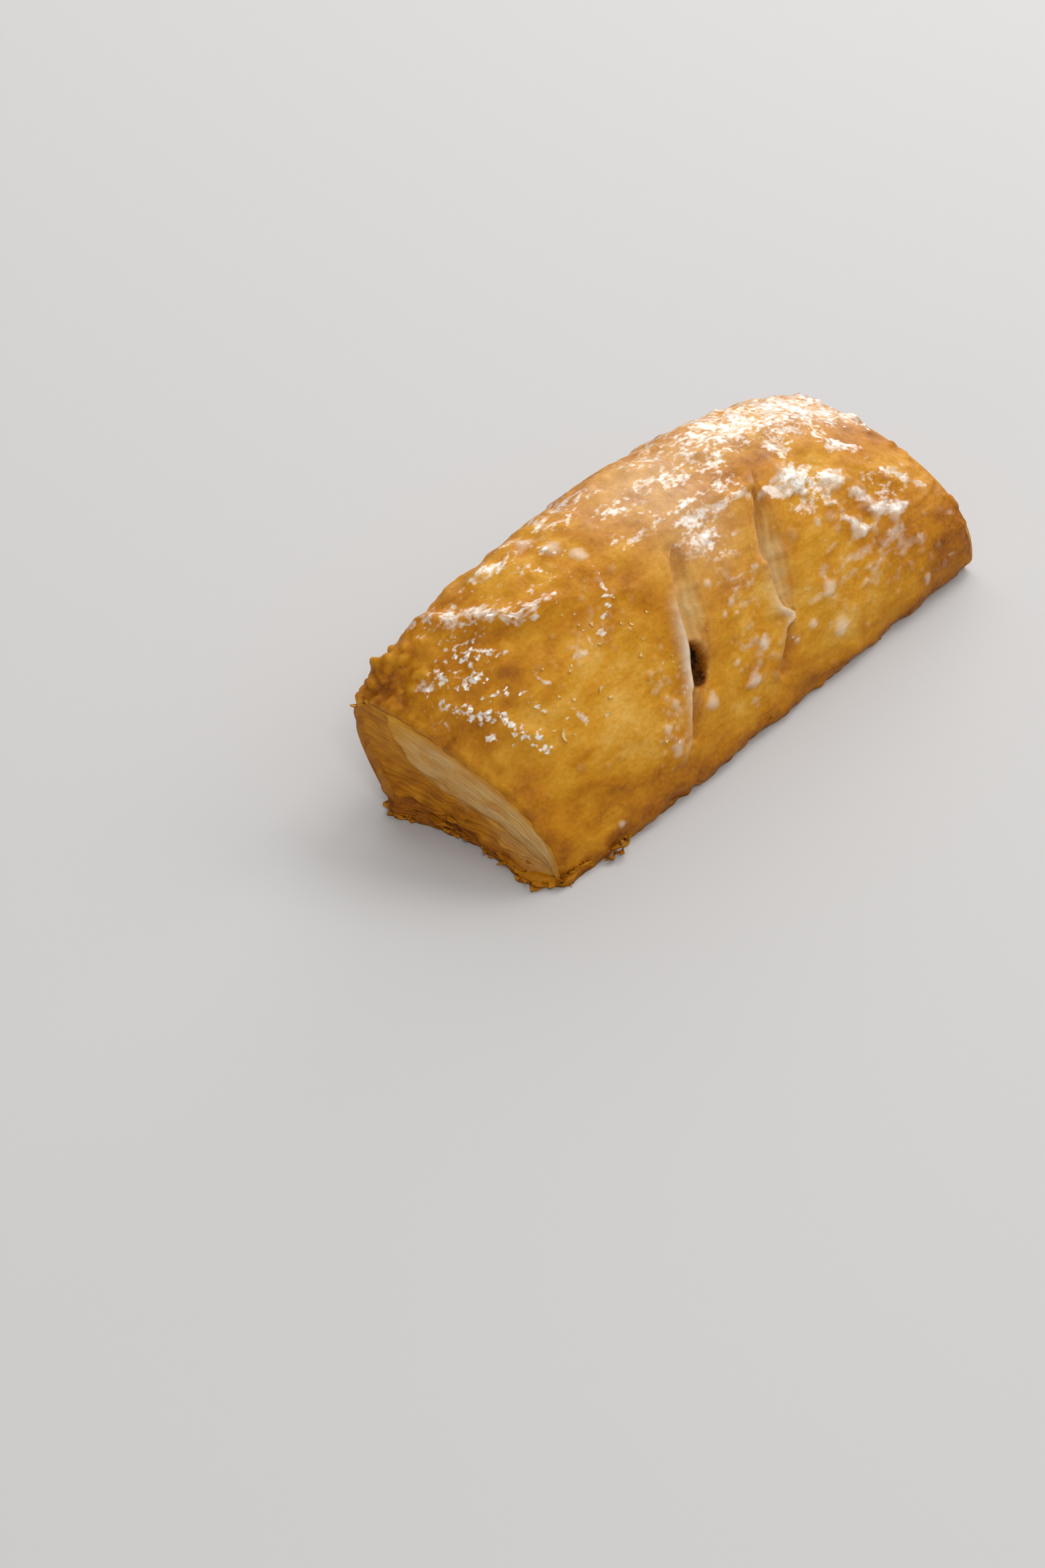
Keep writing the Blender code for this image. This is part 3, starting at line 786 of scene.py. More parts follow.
# %% Grids that are moved into place, and finished pieces
def grid(points, sheet=None, **attributes):
    """A grid of faces moved to these points, with these values on its vertices, in a new or a given sheet."""
    sheet = sheet or bmesh.new()
    kinds = sheet.verts.layers.float
    layers = [(kinds.get(name) or kinds.new(name), values) for name, values in attributes.items()]
    columns, lines = points.shape[:2]
    made = bmesh.ops.create_grid(sheet, x_segments=columns - 1, y_segments=lines - 1, size=0.5)["verts"]
    for vertex in made:
        column = round((vertex.co.x + 0.5) * (columns - 1))
        line = round((vertex.co.y + 0.5) * (lines - 1))
        vertex.co = points[column, line]
        for layer, values in layers:
            vertex[layer] = values[column, line]
    return sheet, made


def finish_piece(sheet, name, material):
    """Keeps the sheet off the floor, turns its faces outwards and makes it a piece in the bar's place."""
    for vertex in sheet.verts:
        vertex.co.z = max(vertex.co.z, low.z)
    bmesh.ops.recalc_face_normals(sheet, faces=sheet.faces)
    data = bpy.data.meshes.new(name)
    sheet.to_mesh(data)
    sheet.free()
    data.shade_smooth()
    data.materials.append(material)
    piece = bpy.data.objects.new(name, data)
    bpy.context.scene.collection.objects.link(piece)
    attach(piece, "root")
    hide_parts("pastry")
    triangles = sum(len(face.vertices) - 2 for face in data.polygons)
    print(f"{name}: {triangles} triangles")


MERGE = 0.002 * MM


def close_ends(tube):
    """Joins the first line to the last and shuts both open ends with a fan."""
    bmesh.ops.remove_doubles(tube, verts=tube.verts, dist=MERGE)
    open_edges = [edge for edge in tube.edges if edge.is_boundary]
    caps = bmesh.ops.holes_fill(tube, edges=open_edges, sides=0)["faces"]
    bmesh.ops.poke(tube, faces=caps)


# %% [markdown]
# ## Two shader groups for everything baked
#
# Every surface of the bar is the same dough, baked more or less, so the colours live in one node group that
# all materials share: it adds a fine mottle to the baking and the painted shade, so that no patch is flat,
# looks the result up on a ramp from raw dough to nearly burnt, and lays pale layers and a painted whitish
# sheen, which stands for the glaze's highlights, over it. A second group gives the fine relief, too small for
# the mesh: flakes and pinprick bubbles.


# %% Node helpers
def new_group(name, inputs, outputs):
    """A node group with these named float inputs and these named outputs of a given kind."""
    tree = bpy.data.node_groups.new(name, "ShaderNodeTree")
    for label, value in inputs.items():
        socket = tree.interface.new_socket(label, in_out="INPUT", socket_type="NodeSocketFloat")
        socket.default_value = value
    for label, kind in outputs.items():
        tree.interface.new_socket(label, in_out="OUTPUT", socket_type=kind)
    return tree, tree.nodes.new("NodeGroupInput"), tree.nodes.new("NodeGroupOutput")


def feed(tree, socket, value):
    """Links a socket that is given as the value, and sets any other value."""
    if isinstance(value, bpy.types.NodeSocket):
        tree.links.new(value, socket)
    else:
        socket.default_value = value


def add(tree, kind, **inputs):
    """A node with these values or links on its sockets."""
    made = tree.nodes.new(kind)
    for label, value in inputs.items():
        feed(tree, made.inputs[label.replace("_", " ")], value)
    return made


def sums(tree, operation, first, second, clamp=False):
    """A Math node of two values or sockets, and its result."""
    made = tree.nodes.new("ShaderNodeMath")
    made.operation = operation
    made.use_clamp = clamp
    for socket, value in zip(made.inputs, (first, second)):
        feed(tree, socket, value)
    return made.outputs[0]


def mixed(tree, share, first, second):
    """The first colour with a share of the second."""
    made = tree.nodes.new("ShaderNodeMix")
    made.data_type = "RGBA"
    for place, value in ((0, share), (6, first), (7, second)):
        feed(tree, made.inputs[place], value)
    return made.outputs[2]


def noise_texture(tree, size, detail=2.0, stretch=(1, 1, 1), offset=0.0):
    """Noise on Object coordinates whose lumps are about this many mm across."""
    place = add(tree, "ShaderNodeTexCoord").outputs["Object"]
    turn = add(tree, "ShaderNodeMapping", Vector=place)
    turn.inputs["Scale"].default_value = [part / (size * MM) for part in stretch]
    turn.inputs["Location"].default_value = (offset, offset, offset)
    made = add(tree, "ShaderNodeTexNoise", Vector=turn.outputs[0], Scale=1.0, Detail=detail, Roughness=0.55)
    return made.outputs[0]


def linear(red, green, blue):
    """A colour given on the usual 0 to 255 scale, as the light it stands for."""
    shares = (value / 255 for value in (red, green, blue))
    return [s / 12.92 if s <= 0.04045 else ((s + 0.055) / 1.055) ** 2.4 for s in shares] + [1.0]


# %% Browning: raw dough to nearly burnt, with a painted whitish sheen over it
BROWNING = (
    (0.00, (220, 186, 120)),
    (0.22, (212, 164, 76)),
    (0.45, (197, 137, 29)),
    (0.62, (180, 115, 10)),
    (0.86, (138, 76, 8)),
    (0.95, (92, 53, 12)),
    (1.00, (38, 24, 14)),
)
RAW_DOUGH = (200, 168, 116)
# painted sheen: the whitish colour laid on where the glaze should shine
PAINTED_SHEEN_COLOUR = (233, 224, 210)

BROWNING_INPUTS = {"Bake": 0.5, "Pale": 0.0, "Painted Sheen": 0.0, "Mottle": 0.16}
tree, given, result = new_group("browning", BROWNING_INPUTS, {"Color": "NodeSocketColor"})
coarse = sums(tree, "SUBTRACT", noise_texture(tree, 3.2, 3.0, (0.6, 1, 1)), 0.5)
fine = sums(tree, "SUBTRACT", noise_texture(tree, 0.7, 2.0, (0.8, 1, 1), 3.7), 0.5)
mottle = sums(tree, "ADD", coarse, sums(tree, "MULTIPLY", fine, 0.6))
mottled = sums(tree, "MULTIPLY", mottle, given.outputs["Mottle"])
baked = sums(tree, "ADD", given.outputs["Bake"], sums(tree, "MULTIPLY", mottled, 2.0))
ramp = add(tree, "ShaderNodeValToRGB", Fac=baked)
stops = ramp.color_ramp.elements
for place, colour in BROWNING[2:]:
    stops.new(place)
for stop, (place, colour) in zip(stops, BROWNING):
    stop.position = place
    stop.color = linear(*colour)
pale_share = sums(tree, "MULTIPLY", given.outputs["Pale"], 0.85, clamp=True)
dough = mixed(tree, pale_share, ramp.outputs["Color"], linear(*RAW_DOUGH))
film_share = sums(tree, "MULTIPLY", given.outputs["Painted Sheen"], 1.0, clamp=True)
tree.links.new(mixed(tree, film_share, dough, linear(*PAINTED_SHEEN_COLOUR)), result.inputs["Color"])

# %% Fine relief
BUBBLE_SIZE = 0.75
tree, given, result = new_group("fine_flakes", {"Bubbles": 0.3}, {"Height": "NodeSocketFloat"})
flakes = noise_texture(tree, 1.1, 3.0, (0.45, 1, 1), 1.9)
place = add(tree, "ShaderNodeTexCoord").outputs["Object"]
cells = add(tree, "ShaderNodeTexVoronoi", Vector=place, Scale=1 / (BUBBLE_SIZE * MM), Randomness=1.0)
domes = sums(tree, "SUBTRACT", 1.0, cells.outputs["Distance"], clamp=True)
lifted = sums(tree, "MULTIPLY", sums(tree, "POWER", domes, 3.0), given.outputs["Bubbles"])
tree.links.new(sums(tree, "ADD", flakes, lifted), result.inputs["Height"])
print("node groups:", [group.name for group in bpy.data.node_groups])


# %% [markdown]
# ## The finishes
#
# Egg wash pools and dries shiny in some places and soaks in at others, so the crust goes from satin to glazed
# as the `glaze` values say: where they are high the surface is smooth and wears a clear coat, which is a
# second reflection on top of its own, and a whitish sheen is painted into the colour as a highlight. Where
# `foam` is high the patches break up into fine specks, painted whiter still. The bare layers are the same
# dough without any glaze. The cut layers are the same again, with lines drawn along them: the mesh carries
# each spot's `level`, and noise that changes fast with `level` and slowly across the bar follows the layers
# wherever they bend.

# %% Patches of glaze, and lines along the layers
PATCH_REACH, PATCH_EDGE, FEWER_SPECKS = 0.40, 3.8, 0.17
LINES_A_LAYER, LINE_LENGTH = 1.9, 7.0


def named_attribute(tree, name):
    """The values of this name on the mesh."""
    made = add(tree, "ShaderNodeAttribute")
    made.attribute_name = name
    return made.outputs["Fac"]


def glaze_patches(tree, wetness, amount, foam):
    """Where the glaze shows, from 0 to 1: patches that grow with `amount` and break up with `foam`."""
    specks = sums(tree, "SUBTRACT", noise_texture(tree, 0.9, 1.0, (0.6, 1, 1), 5.5), FEWER_SPECKS)
    apart = sums(tree, "MULTIPLY", sums(tree, "SUBTRACT", specks, wetness), foam)
    reach = sums(tree, "MULTIPLY", sums(tree, "SUBTRACT", amount, 0.5), PATCH_REACH)
    above = sums(tree, "SUBTRACT", sums(tree, "ADD", sums(tree, "ADD", wetness, apart), reach), 0.5)
    steep = sums(tree, "ADD", PATCH_EDGE, sums(tree, "MULTIPLY", foam, PATCH_EDGE))
    patch = sums(tree, "MULTIPLY", above, steep, clamp=True)
    return sums(tree, "MULTIPLY", patch, sums(tree, "MULTIPLY", amount, 3.0, clamp=True))


def layer_lines(tree):
    """Streaks about 0 that follow the layers: quick with `level`, slow across the bar."""
    beside = add(tree, "ShaderNodeMapping", Vector=add(tree, "ShaderNodeTexCoord").outputs["Object"])
    beside.inputs["Scale"].default_value = (0, 1 / (LINE_LENGTH * MM), 0)
    height = sums(tree, "MULTIPLY", named_attribute(tree, "level"), LINES_A_LAYER)
    upwards = add(tree, "ShaderNodeCombineXYZ", X=height)
    spot = add(tree, "ShaderNodeVectorMath")
    tree.links.new(beside.outputs[0], spot.inputs[0])
    tree.links.new(upwards.outputs[0], spot.inputs[1])
    drawn = add(tree, "ShaderNodeTexNoise", Vector=spot.outputs[0], Scale=1.0, Detail=2.0, Roughness=0.6)
    return sums(tree, "SUBTRACT", 0.5, drawn.outputs[0])


# %% Materials
# how much painted sheen the glaze patches get, and how much more where they break into specks
PAINTED_SHEEN_ON_GLAZE, PAINTED_SHEEN_ON_FOAM = 0.34, 0.62
COAT_ROUGHNESS, COAT_IOR = 0.22, 1.8
DOUGH_SPECULAR, SATIN_SPREAD = 0.15, 0.08


def baked_material(name, bubbles, mottle, bump, satin, shiny=None, lines=0.0):
    """Baked dough, `satin` rough where bare and `shiny` rough where glazed, with lines of this strength."""
    material = bpy.data.materials.new(name)
    material.use_nodes = True
    tree = material.node_tree
    shader = tree.nodes["Principled BSDF"]
    colour = tree.nodes.new("ShaderNodeGroup")
    colour.node_tree = bpy.data.node_groups["browning"]
    bake_here, pale_here = named_attribute(tree, "bake"), named_attribute(tree, "pale")
    if lines:
        streak = layer_lines(tree)
        bake_here = sums(tree, "ADD", bake_here, sums(tree, "MULTIPLY", streak, lines))
        paler = sums(tree, "SUBTRACT", 1.0, sums(tree, "MULTIPLY", streak, 3 * lines))
        pale_here = sums(tree, "MULTIPLY", pale_here, paler, clamp=True)
    tree.links.new(bake_here, colour.inputs["Bake"])
    tree.links.new(pale_here, colour.inputs["Pale"])
    colour.inputs["Mottle"].default_value = mottle
    tree.links.new(colour.outputs["Color"], shader.inputs["Base Color"])
    wetness = noise_texture(tree, 2.4, 3.0, (0.5, 1, 1), 9.1)
    relief_group = tree.nodes.new("ShaderNodeGroup")
    relief_group.node_tree = bpy.data.node_groups["fine_flakes"]
    relief_group.inputs["Bubbles"].default_value = bubbles
    spread = add(tree, "ShaderNodeMapRange", Value=wetness)
    least, most = (satin - SATIN_SPREAD, satin + SATIN_SPREAD) if shiny is None else (satin, shiny)
    spread.inputs["To Min"].default_value = least
    spread.inputs["To Max"].default_value = most
    if shiny is not None:
        foam = named_attribute(tree, "foam")
        glazed = glaze_patches(tree, wetness, named_attribute(tree, "glaze"), foam)
        foaming = sums(tree, "MULTIPLY", sums(tree, "MULTIPLY", glazed, foam), 2.0)
        tree.links.new(sums(tree, "ADD", bubbles, foaming), relief_group.inputs["Bubbles"])
        tree.links.new(glazed, spread.inputs["Value"])
        # painted sheen: whiter where the glaze patches and their specks show
        film_share = sums(tree, "ADD", PAINTED_SHEEN_ON_GLAZE, sums(tree, "MULTIPLY", foam, PAINTED_SHEEN_ON_FOAM))
        film = sums(tree, "ADD", named_attribute(tree, "film"), sums(tree, "MULTIPLY", glazed, film_share))
        tree.links.new(film, colour.inputs["Painted Sheen"])
        tree.links.new(glazed, shader.inputs["Coat Weight"])
        shader.inputs["Coat Roughness"].default_value = COAT_ROUGHNESS
        shader.inputs["Coat IOR"].default_value = COAT_IOR
    height_here = relief_group.outputs["Height"]
    if lines:
        height_here = sums(tree, "SUBTRACT", height_here, sums(tree, "MULTIPLY", streak, 4 * lines))
    raised = add(tree, "ShaderNodeBump", Height=height_here, Distance=bump * MM)
    tree.links.new(raised.outputs["Normal"], shader.inputs["Normal"])
    tree.links.new(spread.outputs[0], shader.inputs["Roughness"])
    shader.inputs["Specular IOR Level"].default_value = DOUGH_SPECULAR
    return material


glazed_crust = baked_material("glazed_crust", 0.30, 0.24, 0.15, 0.56, 0.22)
bare_layers = baked_material("bare_layers", 0.15, 0.16, 0.20, 0.68)
cut_layers = baked_material("cut_layers", 0.10, 0.13, 0.20, 0.68, lines=0.36)
print("finishes:", glazed_crust.name, bare_layers.name, cut_layers.name)

# %% [markdown]
# ## The crust piece
#
# Now the net is made a mesh: the grid is moved onto the points, its long edges are joined under the bar, and
# both ends are shut.

# %% Crust
crust_sheet, _ = grid(skin, bake=bake_skin, pale=pale_skin, glaze=glaze_skin, film=film_skin, foam=foam_skin)
close_ends(crust_sheet)
finish_piece(crust_sheet, "crust", glazed_crust)

# %% [markdown]
# ## The layered ends
#
# Where the bar was cut, the layers of the puff pastry show as fine lines that follow the top crust down to
# both feet. The upper half is a pale band that puffed out a little, the lower half sank in and browned, and
# the bottom sheet sticks out in ragged crumbs. The brown of the lower half is partly painted shade, and the
# foot is darkened with painted shadow. The face is a grid swept from the rim of the crust down to the base
# line. How high a spot lies, as a share of the crust above it, picks its layer, and each layer gets its own
# small overhang.

# %% Faces of the ends
FACE_LINES, FACE_STEPS = 84, 176
LAYERS = 19
SLAB = 3.5 * MM
BACK_SHRINK = 0.93
BEHIND_RIM = 0.45 * MM
DEEPEST = -2.2  # mm
BROWNEST_FACE = 0.88
# how far the bottom sheet sticks out of an end, in mm, at places across it
NEAR_FOOT = (
    (-23, -0.8),
    (-19.5, 0.6),
    (-18.5, 1.9),
    (-15.3, 2.8),
    (-13, 1.6),
    (-10.5, 0.9),
    (-8, -0.1),
    (-5.5, -0.6),
    (-3.5, -1.2),
    (1, -1.4),
    (6, -1.4),
    (7.5, -1.1),
    (10.5, -1.0),
    (12.5, 0.6),
    (14, 0.0),
)
FAR_FOOT = ((-23, 0.3), (-15, 0.9), (-6, 0.1), (3, 0.6), (12, -0.4), (20, 0.2))
# how high the pale layers begin, as a share of the crust above, at places across the end
NEAR_BAND = (
    (-20, 0.34),
    (-16, 0.36),
    (-13, 0.43),
    (-9.7, 0.48),
    (0.5, 0.51),
    (3, 0.56),
    (6.6, 0.57),
    (10, 0.61),
    (11.5, 0.72),
    (14, 0.84),
    (15.5, 1.1),
)
FAR_BAND = ((-22, 1.1), (-19, 0.5), (-8, 0.44), (2, 0.52), (10, 0.60), (16, 1.1))


def end_x(y, side):
    """Where the plane of an end lies at this y."""
    skew = -NEAR_SKEW * (y - MIDDLE.y) if side < 0 else 0.0
    return SPINE_X + side * HALF + skew


def foot_out(y, side):
    """How far the ragged foot of an end sticks out at this y, in mm."""
    places, out = np.array(NEAR_FOOT if side < 0 else FAR_FOOT).T
    spots = np.stack([y, np.full_like(y, side * LONG), 0 * y], -1)
    ragged = 0.6 * lumps(spots, (50, 2.3, 50), 5.6) + 0.35 * lumps(spots, (50, 1.0, 50), 7.6)
    return np.interp((y - MIDDLE.y) / MM, places, out) + ragged


def top_above(rim, y):
    """How high the rim of an end lies above each y."""
    crest = rim[: np.argmax(rim[:, 1]) + 1]
    return np.interp(y, crest[:, 1], crest[:, 2])


def end_face(side, seed, band_from):
    """Points, browning with painted shade, paleness, level and outward direction of the near (-1) or far (1)
    end.
    """
    away = NEAR_AWAY if side < 0 else FAR_AWAY
    ring = np.linspace(0, 1, FACE_STEPS)
    rim = crust_at(np.full(FACE_STEPS, float(side)), ring)
    base = rim.copy()
    base[:, 1] = np.linspace(rim[0, 1], rim[-1, 1], FACE_STEPS)
    base[:, 2] = low.z
    base[:, 0] = end_x(base[:, 1], side)
    inward = base - rim
    length = np.linalg.norm(inward, axis=1, keepdims=True)
    rim = rim + inward / np.maximum(length, 1e-9) * np.minimum(BEHIND_RIM, length)
    share = np.linspace(0, 1, FACE_LINES)[None, :, None]
    points = base[:, None] * (1 - share) + rim[:, None] * share

    # how high each spot lies, and whether it is in the pale upper band
    y = (points[..., 1] - MIDDLE.y) / MM
    top = top_above(rim, points[..., 1])
    height = np.clip((points[..., 2] - low.z) / np.maximum(top - low.z, MM), 0, 1)
    wander = lumps(points, (40, 12, 6), seed)
    split = np.interp(y, *np.array(band_from).T)
    frayed = 0.05 * wander + 0.09 * lumps(points, (40, 3, 2), seed + 1)
    upper = smooth_step(height + frayed - split, -0.08, 0.12)

    # the overhang of its own layer
    level = height * LAYERS + 0.9 * wander + 0.45 * lumps(points, (40, 3.2, 2.4), seed + 4)
    layer = np.floor(level)
    within = level - layer
    own = lumps(np.stack([layer * 7.3 * MM, points[..., 1], 0 * layer], -1), (1, 5.5, 1), seed + 2)
    fine = lumps(np.stack([layer * 5.1 * MM, points[..., 1], 0 * layer], -1), (1, 1.6, 1), seed + 9)
    rounded = 1 - np.abs(2 * within - 1) ** 3
    ledge = (own + 0.5 * fine) * (0.30 - 0.16 * upper) + (0.16 - 0.06 * upper) * rounded

    # the broad swelling, the crumbs and the ragged foot
    swell = 0.50 * bell(height, (split + 1) / 2, 0.20) * upper - 0.30 * bell(height, split, 0.045)
    swell = swell - 0.55 * (1 - upper) * smooth_step(height, 0.05, 0.2)
    crumbly = 0.6 * lumps(points, (2.4, 2.4, 1.8), seed + 6) * (1 - smooth_step(height, 0.15, 0.55))
    crumbly = crumbly + 0.55 * lumps(points, (5, 4.2, 3.2), seed + 7) * (1 - 0.7 * upper)
    swell = swell + crumbly + foot_out(points[..., 1], side) * (1 - smooth_step(height, 0.0, 0.30))
    hem = np.clip((1 - share[..., 0]) * 14, 0, 1)
    points = points + away * (np.maximum((ledge + swell) * hem, DEEPEST) * MM)[..., None]
    points = kept_above(points, CLEARANCE)

    # how pale and how brown it is, with painted shade on the lower band and the foot
    streaks = 0.5 + 0.9 * own + 0.5 * fine
    fading = 1 - 0.8 * smooth_step(height, 0.95, 1.0)
    under = 0.18 * bell(height, split - 0.12, 0.10) * smooth_step(-y, 2, 10)
    under = under + 0.20 * (1 - upper) * smooth_step(-y, 3, 12) * smooth_step(height, 0.10, 0.25)
    cloudy = 0.5 + 0.6 * lumps(points, (40, 6, 2.2), seed + 3)
    fading = fading * (1 - smooth_step(y, 7.5, 15.0)) * smooth_step(y, -21.5, -17.5) if side < 0 else fading
    pale_face = upper * fading * np.clip(0.45 + 0.35 * (streaks - 0.5) + 0.35 * cloudy, 0, 1) + under
    bake_face = 0.56 + 0.10 * wander + 0.12 * lumps(points, (3, 2.6, 2.0), seed + 8)
    # painted shade: darker on the lower band, whose brown is partly real, and darkest at the foot, as if
    # shadowed by the floor
    bake_face = bake_face + 0.20 * (1 - upper) + 0.22 * (1 - smooth_step(height, 0.0, 0.3))
    bake_face = bake_face + 0.05 * (1 - rounded) - 0.12 * np.clip(crumbly, 0, 1)
    bake_face = bake_face - 0.16 * smooth_step(-y, 0, 9) * (1 - upper) * smooth_step(height, 0.05, 0.2)
    if side < 0:
        golden = smooth_step(y, 4, 12) * smooth_step(height, 0.35, 0.75)
        bake_face = bake_face - 0.14 * golden
        pale_face = np.maximum(pale_face, 0.08 * golden)
    return points, np.minimum(bake_face, BROWNEST_FACE), pale_face, level, away


def close_back(sheet, away):
    """Gives a face a wall that narrows a little towards its back, and shuts the back with a fan."""
    bmesh.ops.remove_doubles(sheet, verts=sheet.verts, dist=MERGE)
    edges = [edge for edge in sheet.edges if edge.is_boundary]
    walls = bmesh.ops.extrude_edge_only(sheet, edges=edges)["geom"]
    behind = [part for part in walls if isinstance(part, bmesh.types.BMVert)]
    bmesh.ops.translate(sheet, verts=behind, vec=Vector(-away * SLAB))
    about_middle = Matrix.Translation((0, -MIDDLE.y, 0))
    bmesh.ops.scale(sheet, verts=behind, vec=(1, BACK_SHRINK, 1), space=about_middle)
    back = [edge for edge in sheet.edges if edge.is_boundary]
    caps = bmesh.ops.holes_fill(sheet, edges=back, sides=0)["faces"]
    bmesh.ops.poke(sheet, faces=caps)


for name, *facts in (("near_end", -1, 21.0, NEAR_BAND), ("far_end", 1, 47.0, FAR_BAND)):
    points, bake_face, pale_face, level, away = end_face(*facts)
    sheet, _ = grid(points, bake=bake_face, pale=pale_face, level=level)
    close_back(sheet, away)
    finish_piece(sheet, name, cut_layers)

# %% [markdown]
# ## The bottom sheet
#
# The bar stood on a hot tray, so its underside is flat, brown and slightly pitted, and its edge spreads a
# little past the crust in ragged crumbs. A grid gives the underside, and extruding it upwards makes a slab.

# %% Bottom sheet
BASE_COLUMNS, BASE_LINES = 150, 64
BASE_THICKNESS = 1.4 * MM
FOOT_REACH = 6 * MM  # how far back from an end its ragged foot is drawn out
BROWNEST_BASE = 0.80
across = np.linspace(0, 1, BASE_LINES)
base_points = np.empty((BASE_COLUMNS, BASE_LINES, 3))
feet = [crust_at(np.linspace(-1, 1, BASE_COLUMNS), np.full(BASE_COLUMNS, ring)) for ring in (0.0, 1.0)]
base_points[:] = feet[0][:, None] * (1 - across[:, None]) + feet[1][:, None] * across[:, None]
spread = np.array([(0.10 + 0.9 * lumps(foot, (2.6, 2.6, 2.6), 14.2)) * MM for foot in feet])
edge_pull = np.abs(across * 2 - 1) ** 12
sideways = np.where(across < 0.5, -spread[0][:, None], spread[1][:, None]) * edge_pull
base_points[..., 1] += sideways
for side, end in ((-1, 0), (1, -1)):
    out = foot_out(base_points[end, :, 1], side) * MM
    reach = np.clip(1 - np.abs(base_points[..., 0] - base_points[end, :, 0]) / FOOT_REACH, 0, 1) ** 2
    base_points[..., 0] += side * reach * out
pits = 0.16 + 0.22 * lumps(base_points, (7, 5, 5), 51.0) + 0.12 * lumps(base_points, (2, 1.6, 2), 53.0)
base_points[..., 2] = low.z + np.clip(pits, 0, 1) * MM
base_bake = 0.70 + 0.26 * lumps(base_points, (15, 11, 11), 57.0) + 0.06 * edge_pull
base_bake = np.clip(base_bake, 0, BROWNEST_BASE)
base_sheet, _ = grid(base_points, bake=base_bake, pale=np.zeros_like(base_bake))
upper_side = bmesh.ops.extrude_face_region(base_sheet, geom=base_sheet.faces[:])["geom"]
upper_side = [part for part in upper_side if isinstance(part, bmesh.types.BMVert)]
bmesh.ops.translate(base_sheet, verts=upper_side, vec=(0, 0, BASE_THICKNESS))
finish_piece(base_sheet, "bottom_sheet", bare_layers)

# %% [markdown]
# ## Loose edges, flakes and crumbs that cling to the bar
#
# A flake is a thin tongue of dough: a small grid that tapers, curls and ripples, made a closed sheet with
# solidify. One helper lays it at any place and size. Loops then lay leaves that stick out of the cut ends,
# ragged crumbs round the foot, and pale slivers stuck in the glaze.

# %% Flakes
FLAKE_STEPS, FLAKE_LINES = 8, 4
FLAKE_CLEARANCE = 0.1 * MM
BROWNEST_FLAKE, BROWNER_TIP = 0.80, 0.14


def add_flake(target, spot, run, outward, size, thickness, curl, browning, seed):
    """Lays one flake in `target`. `size` is its length and reach, `curl` how far its tip lifts, in mm."""
    run, outward = np.array(run, float), np.array(outward, float)
    up = np.cross(run, outward)
    up /= np.linalg.norm(up)
    up *= 1 if up[2] >= 0 else -1
    s = np.linspace(-0.5, 0.5, FLAKE_STEPS)[:, None]
    t = np.linspace(0, 1, FLAKE_LINES)[None]
    ragged = np.array([noise.noise((step * 3.1, seed, 0.5)) for step in s[:, 0].tolist()])[:, None]
    reach = size[1] * t * np.clip(1 - (2 * s) ** 4, 0.15, 1) * (1 + 0.9 * ragged)
    lift = curl * t**2 + 0.25 * size[1] * ragged * t + 0.4 * curl * (2 * s) ** 2
    lengths = s * size[0] * (1 - 0.35 * t)
    points = spot + MM * (run * lengths[..., None] + outward * reach[..., None] + up * lift[..., None])
    points = kept_above(points, FLAKE_CLEARANCE)
    bake_value, pale_value = browning
    shade = np.minimum(bake_value + BROWNER_TIP * t + np.zeros(points.shape[:2]), BROWNEST_FLAKE)
    _, made = grid(points, target, bake=shade, pale=np.full(points.shape[:2], pale_value))
    faces = list(dict.fromkeys(face for vertex in made for face in vertex.link_faces))
    bmesh.ops.solidify(target, geom=faces, thickness=thickness * MM)


def direction(degrees, lift=0.0):
    """A level direction, turned from +X towards +Y, then lifted."""
    turn = math.radians(degrees)
    flat = np.array([math.cos(turn), math.sin(turn), lift])
    return flat / np.linalg.norm(flat)


# %% Leaves of the cut ends
LEAF_LEVELS = (0.08, 0.12, 0.16, 0.20, 0.24, 0.30)  # heights, as shares of the crust above
LEAF_ROOT = 1.3 * MM  # how deep in the face a leaf begins
RIM_SPOTS = 200
leaves = bmesh.new()
chance = random.Random(5)
for side, away, count in ((-1, NEAR_AWAY, 9), (1, FAR_AWAY, 10)):
    rim = crust_at(np.full(RIM_SPOTS, float(side)), np.linspace(0, 1, RIM_SPOTS))
    for number in range(count):
        y = MIDDLE.y + chance.uniform(-0.42, 0.26) * WIDE
        top = top_above(rim, y) - low.z
        level = chance.choice(LEAF_LEVELS)
        slope = (top_above(rim, y + MM) - low.z - top) / MM * level
        spot = np.array([end_x(y, side), y, low.z + level * top]) - away * LEAF_ROOT
        run = np.array([NEAR_SKEW if side < 0 else 0.0, 1.0, slope])
        run /= np.linalg.norm(run)
        tilt = away + np.array([0, 0, chance.uniform(-0.25, 0.2)])
        size = (chance.uniform(2.5, 8), chance.uniform(0.9, 1.4) + 0.3 * (level < 0.15))
        browning = (chance.uniform(0.58, 0.76), 0.0)
        thickness, curl = chance.uniform(0.18, 0.32), chance.uniform(-0.3, 0.2)
        add_flake(leaves, spot, run, tilt, size, thickness, curl, browning, number)
finish_piece(leaves, "cut_leaves", bare_layers)

# %% Crumbs round the foot
# least and most length, reach, browning, lift, thickness and curl of a crumb at the sides and at the near end
SIDE_CRUMB = ((1.4, 3.8), (0.5, 1.2), (0.46, 0.70), (-0.2, 0.5), (0.25, 0.5), (-0.1, 0.7))
END_CRUMB = ((1.2, 3.6), (0.8, 1.9), (0.46, 0.68), (-0.2, 0.4), (0.3, 0.6), (0, 0.5))
SIDE_CRUMBS, END_CRUMBS = 84, 30
crumbs = bmesh.new()
chance = random.Random(8)


